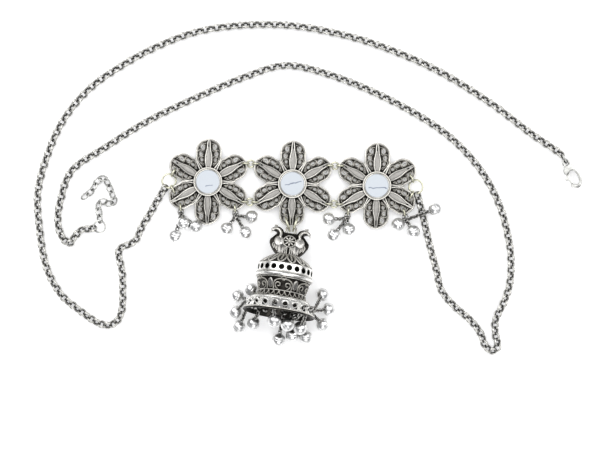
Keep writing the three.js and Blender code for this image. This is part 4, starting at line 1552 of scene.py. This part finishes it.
    def drum_relief(self) -> bpy.types.Object:
        """On the drum: an arch of two scrolls under a small circle, again and again.

        Returns:
            The relief's wires.
        """
        paths = []
        r, arm = 0.9, 11.4
        for i in range(self.panels):
            angle = 2 * math.pi * i / self.panels
            for side in (-1, 1):
                paths.append(self.spiral(0.572, angle + side * 0.185, side, 1.7))
                paths.append(self.skin_line(self.arch, angle, side, 0.12, 0.7))
            paths.append([self.skin(0.455 + r * math.cos(a) / self.length, angle + r * math.sin(a) / arm, 0.2)
                          for a in np.linspace(0, 2 * math.pi, 13)])
        return wires("drum_scrolls", paths, 0.72)

    def neck_leaves(self) -> bpy.types.Object:
        """The ring of small pointed leaves on the neck."""
        angles = (2 * math.pi * i / self.leaves for i in range(self.leaves))
        return wires("neck_leaves", [self.skin_line(self.neck_leaf, a, 1, 0.15, 0.6) for a in angles], 0.45)

    def dome_leaves(self) -> bpy.types.Object:
        """Leaf swoops that fan over the dome, each with a vein.

        Returns:
            The leaves' wires.
        """
        paths = []
        for i in range(self.dome_fans):
            angle = 2 * math.pi * (i + 0.5) / self.dome_fans
            paths += [self.skin_line(self.dome_leaf, angle, side, 0.1, 0.7) for side in (-1, 1)]
            paths.append([self.skin(t, angle, 0.05) for t in self.dome_vein])
        return wires("dome_leaves", paths, 0.78, sides=2)

    def satin_lozenges(self) -> bpy.types.Object:
        """The plain satin panels between the arches of the drum.

        Returns:
            The panels.
        """
        lozenge = bead(1, 16, 8)
        lozenge.scale = (1.25, 0.4, 2.35)
        lean = math.atan2(0.105 * self.radius, 0.22 * self.length)
        spot = Matrix.Translation(self.skin(0.545, 0, -0.05) * MM) @ Matrix.Rotation(lean, 4, "X")
        angles = (2 * math.pi * (i + 0.5) / self.panels for i in range(self.panels))
        places = [Matrix.Rotation(angle, 4, "Z") @ spot for angle in angles]
        return join("bell_lozenges", copies(lozenge, places))

    def on_hanger(self, points: Iterable[Point], side: int = 1) -> list[Vector]:
        """Finds places on the hanger.

        Args:
            points: for each its distances across and along, and its lift off the middle.
            side: 1 or -1, which mirrors them.

        Returns:
            The places in the hanger's frame, in millimetres.
        """
        return [Vector((side * u, lift, t)) for u, t, lift in points]

    def peacocks(self) -> list[bpy.types.Object]:
        """Necks, beaks, tails and crests of the two peacocks, with the loop.

        Returns:
            The necks, the thin wires and the loop.
        """
        neck, thin = [], []
        for side in (-1, 1):
            neck.append(smooth_line(self.on_hanger(self.bird_neck, side), 0.6))
            for reach in (0.0, 0.7, 1.4):
                crest = [(7.0, 0.5, 0.9), (6.6 + reach * 0.5, -0.5, 0.9), (6.2 + reach, -1.3, 0.8)]
                thin.append(self.on_hanger(crest, side))
            for j in range(4):
                tail = [(5.4, 6.4, 0.9), (7.2 - 0.8 * j, 8.2 + 0.5 * j, 0.9),
                        (6.4 - 1.5 * j, 10.3 + 0.8 * j, 0.8)]
                thin.append(smooth_line(self.on_hanger(tail, side), 0.7))
            for j in range(5):
                fan = [(0.6 + 0.35 * j, 9.0, 1.0), (0.8 + 0.75 * j, 11.0, 1.1),
                       (0.5 + 1.0 * j, 13.2 - 0.25 * j, 1.0)]
                thin.append(smooth_line(self.on_hanger(fan, side), 0.7))
            thin.append(self.on_hanger(self.beak, side))
        loop = torus(2.3, 0.5, 32, 10)
        loop.data.transform(Matrix.Rotation(math.pi / 2, 4, "X"))
        return [wires("necks", neck, 1.35, sides=2), wires("tails", thin, 0.55), loop]

    def lumps(self, *rows: tuple[Point, Point]) -> list[bpy.types.Object]:
        """Makes oval bosses on the hanger, mirrored left and right.

        Args:
            *rows: for each boss its place (across, along, lift) and its half sizes the same way.

        Returns:
            The bosses.
        """
        made = []
        for spot, (width, length, height) in rows:
            for side in ((-1, 1) if spot[0] else (1,)):
                boss = bead(1, 16, 10)
                boss.scale = (width, height, length)
                boss.location = self.on_hanger([spot], side)[0] * MM
                made.append(bake_place(boss))
        return made

    def rosette(self) -> bpy.types.Object:
        """The eight-rayed star between the peacocks, in its hoop.

        Returns:
            The star with its hub and hoop.
        """
        middle, ring = self.on_hanger([(0, self.star_at, 1.5), (0, self.star_at, 1.2)])
        ray = bead(1, 10, 6)
        ray.scale = (0.42, 0.4, 1.05)
        centre, out = Matrix.Translation(middle * MM), Matrix.Translation((0, 0, 1.45 * MM))
        rays = copies(ray, [centre @ Matrix.Rotation(math.pi / 4 * i, 4, "Y") @ out for i in range(8)])
        hub = self.lumps(((0, self.star_at, 1.5), (0.75, 0.75, 0.7)))
        hoop = torus(2.75, 0.26, 36, 8)
        hoop.data.transform(Matrix.Translation(ring * MM) @ Matrix.Rotation(math.pi / 2, 4, "X"))
        return join("rosette", [*rays, *hub, hoop])

    def back_plate(self) -> bpy.types.Object:
        """The dark plate that carries the peacocks, cut to their outline.

        Returns:
            The plate with the disc under the star.
        """
        right = [Vector((u * self.hanger_width, t * self.hanger, 0)) for t, u in self.hanger_half]
        left = [Vector((-p.x, p.y, 0)) for p in reversed(right[1:])]
        edge = smooth_line([*right, *left], 0.5, closed=True)
        made = plate("hanger_plate", [edge], -0.9, 0.9, 0.2)
        disc = plate("rosette_disc", [oval(0, self.star_at, 5.6, 5.6, 32)], 0.6, 1.3, 0.2)
        whole = join("hanger_plate", [made, disc])
        whole.data.transform(Matrix(((1, 0, 0), (0, 0, 1), (0, 1, 0))).to_4x4())
        whole.data.flip_normals()
        return whole

    def build(self) -> None:
        """Builds and dresses the bell and its hanger."""
        hoops = [self.around(*hoop) for hoop in self.hoops]
        leaves = self.dome_leaves()
        shell = self.shell()
        bright = join("bell_hoops", [*hoops, leaves])
        band = [self.sleeve(), self.flange_sleeve()]
        band += [self.around(*hoop) for hoop in (self.moulding, self.flange_hoop)]
        on_bell = (
            (shell, ANTIQUE, ["bell"]),
            (bright, BRIGHT_RIM, []),
            (join("bell_band", band), BELL_BAND, []),
            (join("bell_relief", [self.drum_relief(), self.neck_leaves()]), SCROLL, []),
            (join("bell_eyelets", [self.eyelets(), self.grains()]), BELL_BAND, []),
            (self.satin_lozenges(), SATIN, []),
        )
        bodies = self.lumps(((4.6, 6.6, 0.9), (2.3, 2.7, 1.1)), ((8.0, 1.2, 0.9), (0.85, 0.95, 0.8)))
        wings = self.lumps(((3.4, 9.6, 0.9), (1.7, 2.9, 0.8)))
        on_hanger = (
            (self.back_plate(), ANTIQUE, []),
            (join("hanger_birds", [*self.peacocks(), self.rosette()]), BRIGHT_RIM, []),
            (join("hanger_feathers", bodies), FEATHER, []),
            (join("hanger_wings", wings), SATIN, []),
        )
        for pieces, place in ((on_bell, self.bell_frame), (on_hanger, self.hanger_frame)):
            for piece, finish, nodes in pieces:
                bake_place(piece).data.transform(place)
                dress(piece, finish, nodes)


@dataclass
class BellBalls:
    """The balls round the bell's flange; places are shares of its half width from the mouth's centre."""

    bell: Bell
    shares: Sequence[Point] = (
        (-0.01, -0.76, 0.00), (0.37, -0.63, 0.00), (0.75, -0.69, 0.00), (-0.71, -0.30, 0.00),
        (-1.12, -0.40, 0.00), (1.23, -0.34, 0.00), (-1.21, 0.02, 0.00), (1.39, 0.09, 0.00),
        (-1.16, 0.47, 0.00), (1.22, 0.50, 0.00), (-0.77, 0.65, 0.00), (-0.10, -0.14, 1.33),
        (0.25, -0.26, 1.16), (0.60, -0.39, 0.66),
    )
    hook: float = 1.3
    lowest: float = 1.6

    def hole(self, k: int, out: float) -> Vector:
        """Finds a place in a hole of the flange.

        Args:
            k: the hole.
            out: how far the place is moved out along it, in millimetres.

        Returns:
            The place, in millimetres.
        """
        angle = 2 * math.pi * (k + 0.5) / self.bell.holes
        flare = math.atan2(0.225 * self.bell.radius, 0.22 * self.bell.length)
        r = 0.875 * self.bell.radius + math.cos(flare) * out
        p = Vector((0, r, 0.88 * self.bell.length - math.sin(flare) * out))
        return self.bell.bell_frame @ (Matrix.Rotation(angle, 3, "Z") @ p * MM) / MM

    def build(self, balls: Balls) -> None:
        """Builds each ball on the nearest hole that is still free, and dresses it.

        Args:
            balls: the kind of ball that hangs here.
        """
        bell, place = self.bell, self.bell.bell_frame
        mouth = place @ Vector((0, 0, bell.length * MM)) / MM
        free = list(range(bell.holes))
        for i, (x, y, raised) in enumerate(self.shares):
            spread = (x * bell.radius, y * bell.radius, raised * bell.radius)
            at = Vector([a + b for a, b in zip((mouth.x, mouth.y, balls.height), spread)])
            hole = min(free, key=lambda k: (self.hole(k, 0) - at).length)
            free.remove(hole)
            inner = place.inverted() @ (at * MM) / MM
            front = inner.z > bell.length and math.hypot(inner.x, inner.y) < 1.15 * bell.radius
            way = -1 if front else 1
            path = [self.hole(hole, -way * self.hook), self.hole(hole, way * self.hook)]
            for p in path:
                p.z = max(p.z, self.lowest)
            if front:
                spin = Matrix.Rotation(2 * math.pi * (hole + 0.5) / bell.holes, 3, "Z")
                path.append(place @ (spin @ Vector((0, 0.82 * bell.radius, bell.length)) * MM) / MM)
            near = at + (path[-1] - at).normalized() * (balls.radius + balls.stem)
            near.z = max(near.z, self.lowest)
            made = copies(balls.template(), [balls.place(at, near)])
            name = f"bell_ball_{i + 1:02d}"
            dress(join(f"{name}_curb", balls.curb([*path, near])), DARK_CURB)
            dress(join(f"{name}_round", made), BALL_SILVER, (name,))


RING_WIRES = {"drop": 1.05, "dangle": 0.8, "side": 0.92}
PLAIN_RING_WIRE = 0.74
MIDDLE_RING_WIRE = 0.95
END_RINGS = ("clasp_ring", "extender_ring")


def ring_for(node: str) -> Ring:
    """Chooses the wire, finish and slot of a ring by its node's name."""
    wire = MIDDLE_RING_WIRE if node.endswith("_b") else RING_WIRES.get(node.split("_")[1], PLAIN_RING_WIRE)
    return Ring(node, wire, WHITE_SILVER, Slot.BRIGHT) if node in END_RINGS else Ring(node, wire)


def main() -> None:
    """Builds the whole dressed chain."""
    logging.basicConfig(level=logging.INFO, format="%(name)s %(message)s")
    Stage().build()
    for side in ("left", "centre", "right"):
        Flower(side).build()
    for node in sorted(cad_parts):
        if node.startswith("ring_") or node in END_RINGS:
            ring_for(node).build()
    Chains().build()
    Clasp().build()
    balls = Balls()
    for number in CLUSTERS:
        Cluster(number).build(balls)
    bell = Bell()
    bell.build()
    BellBalls(bell).build(balls)


if __name__ == "__main__":
    main()
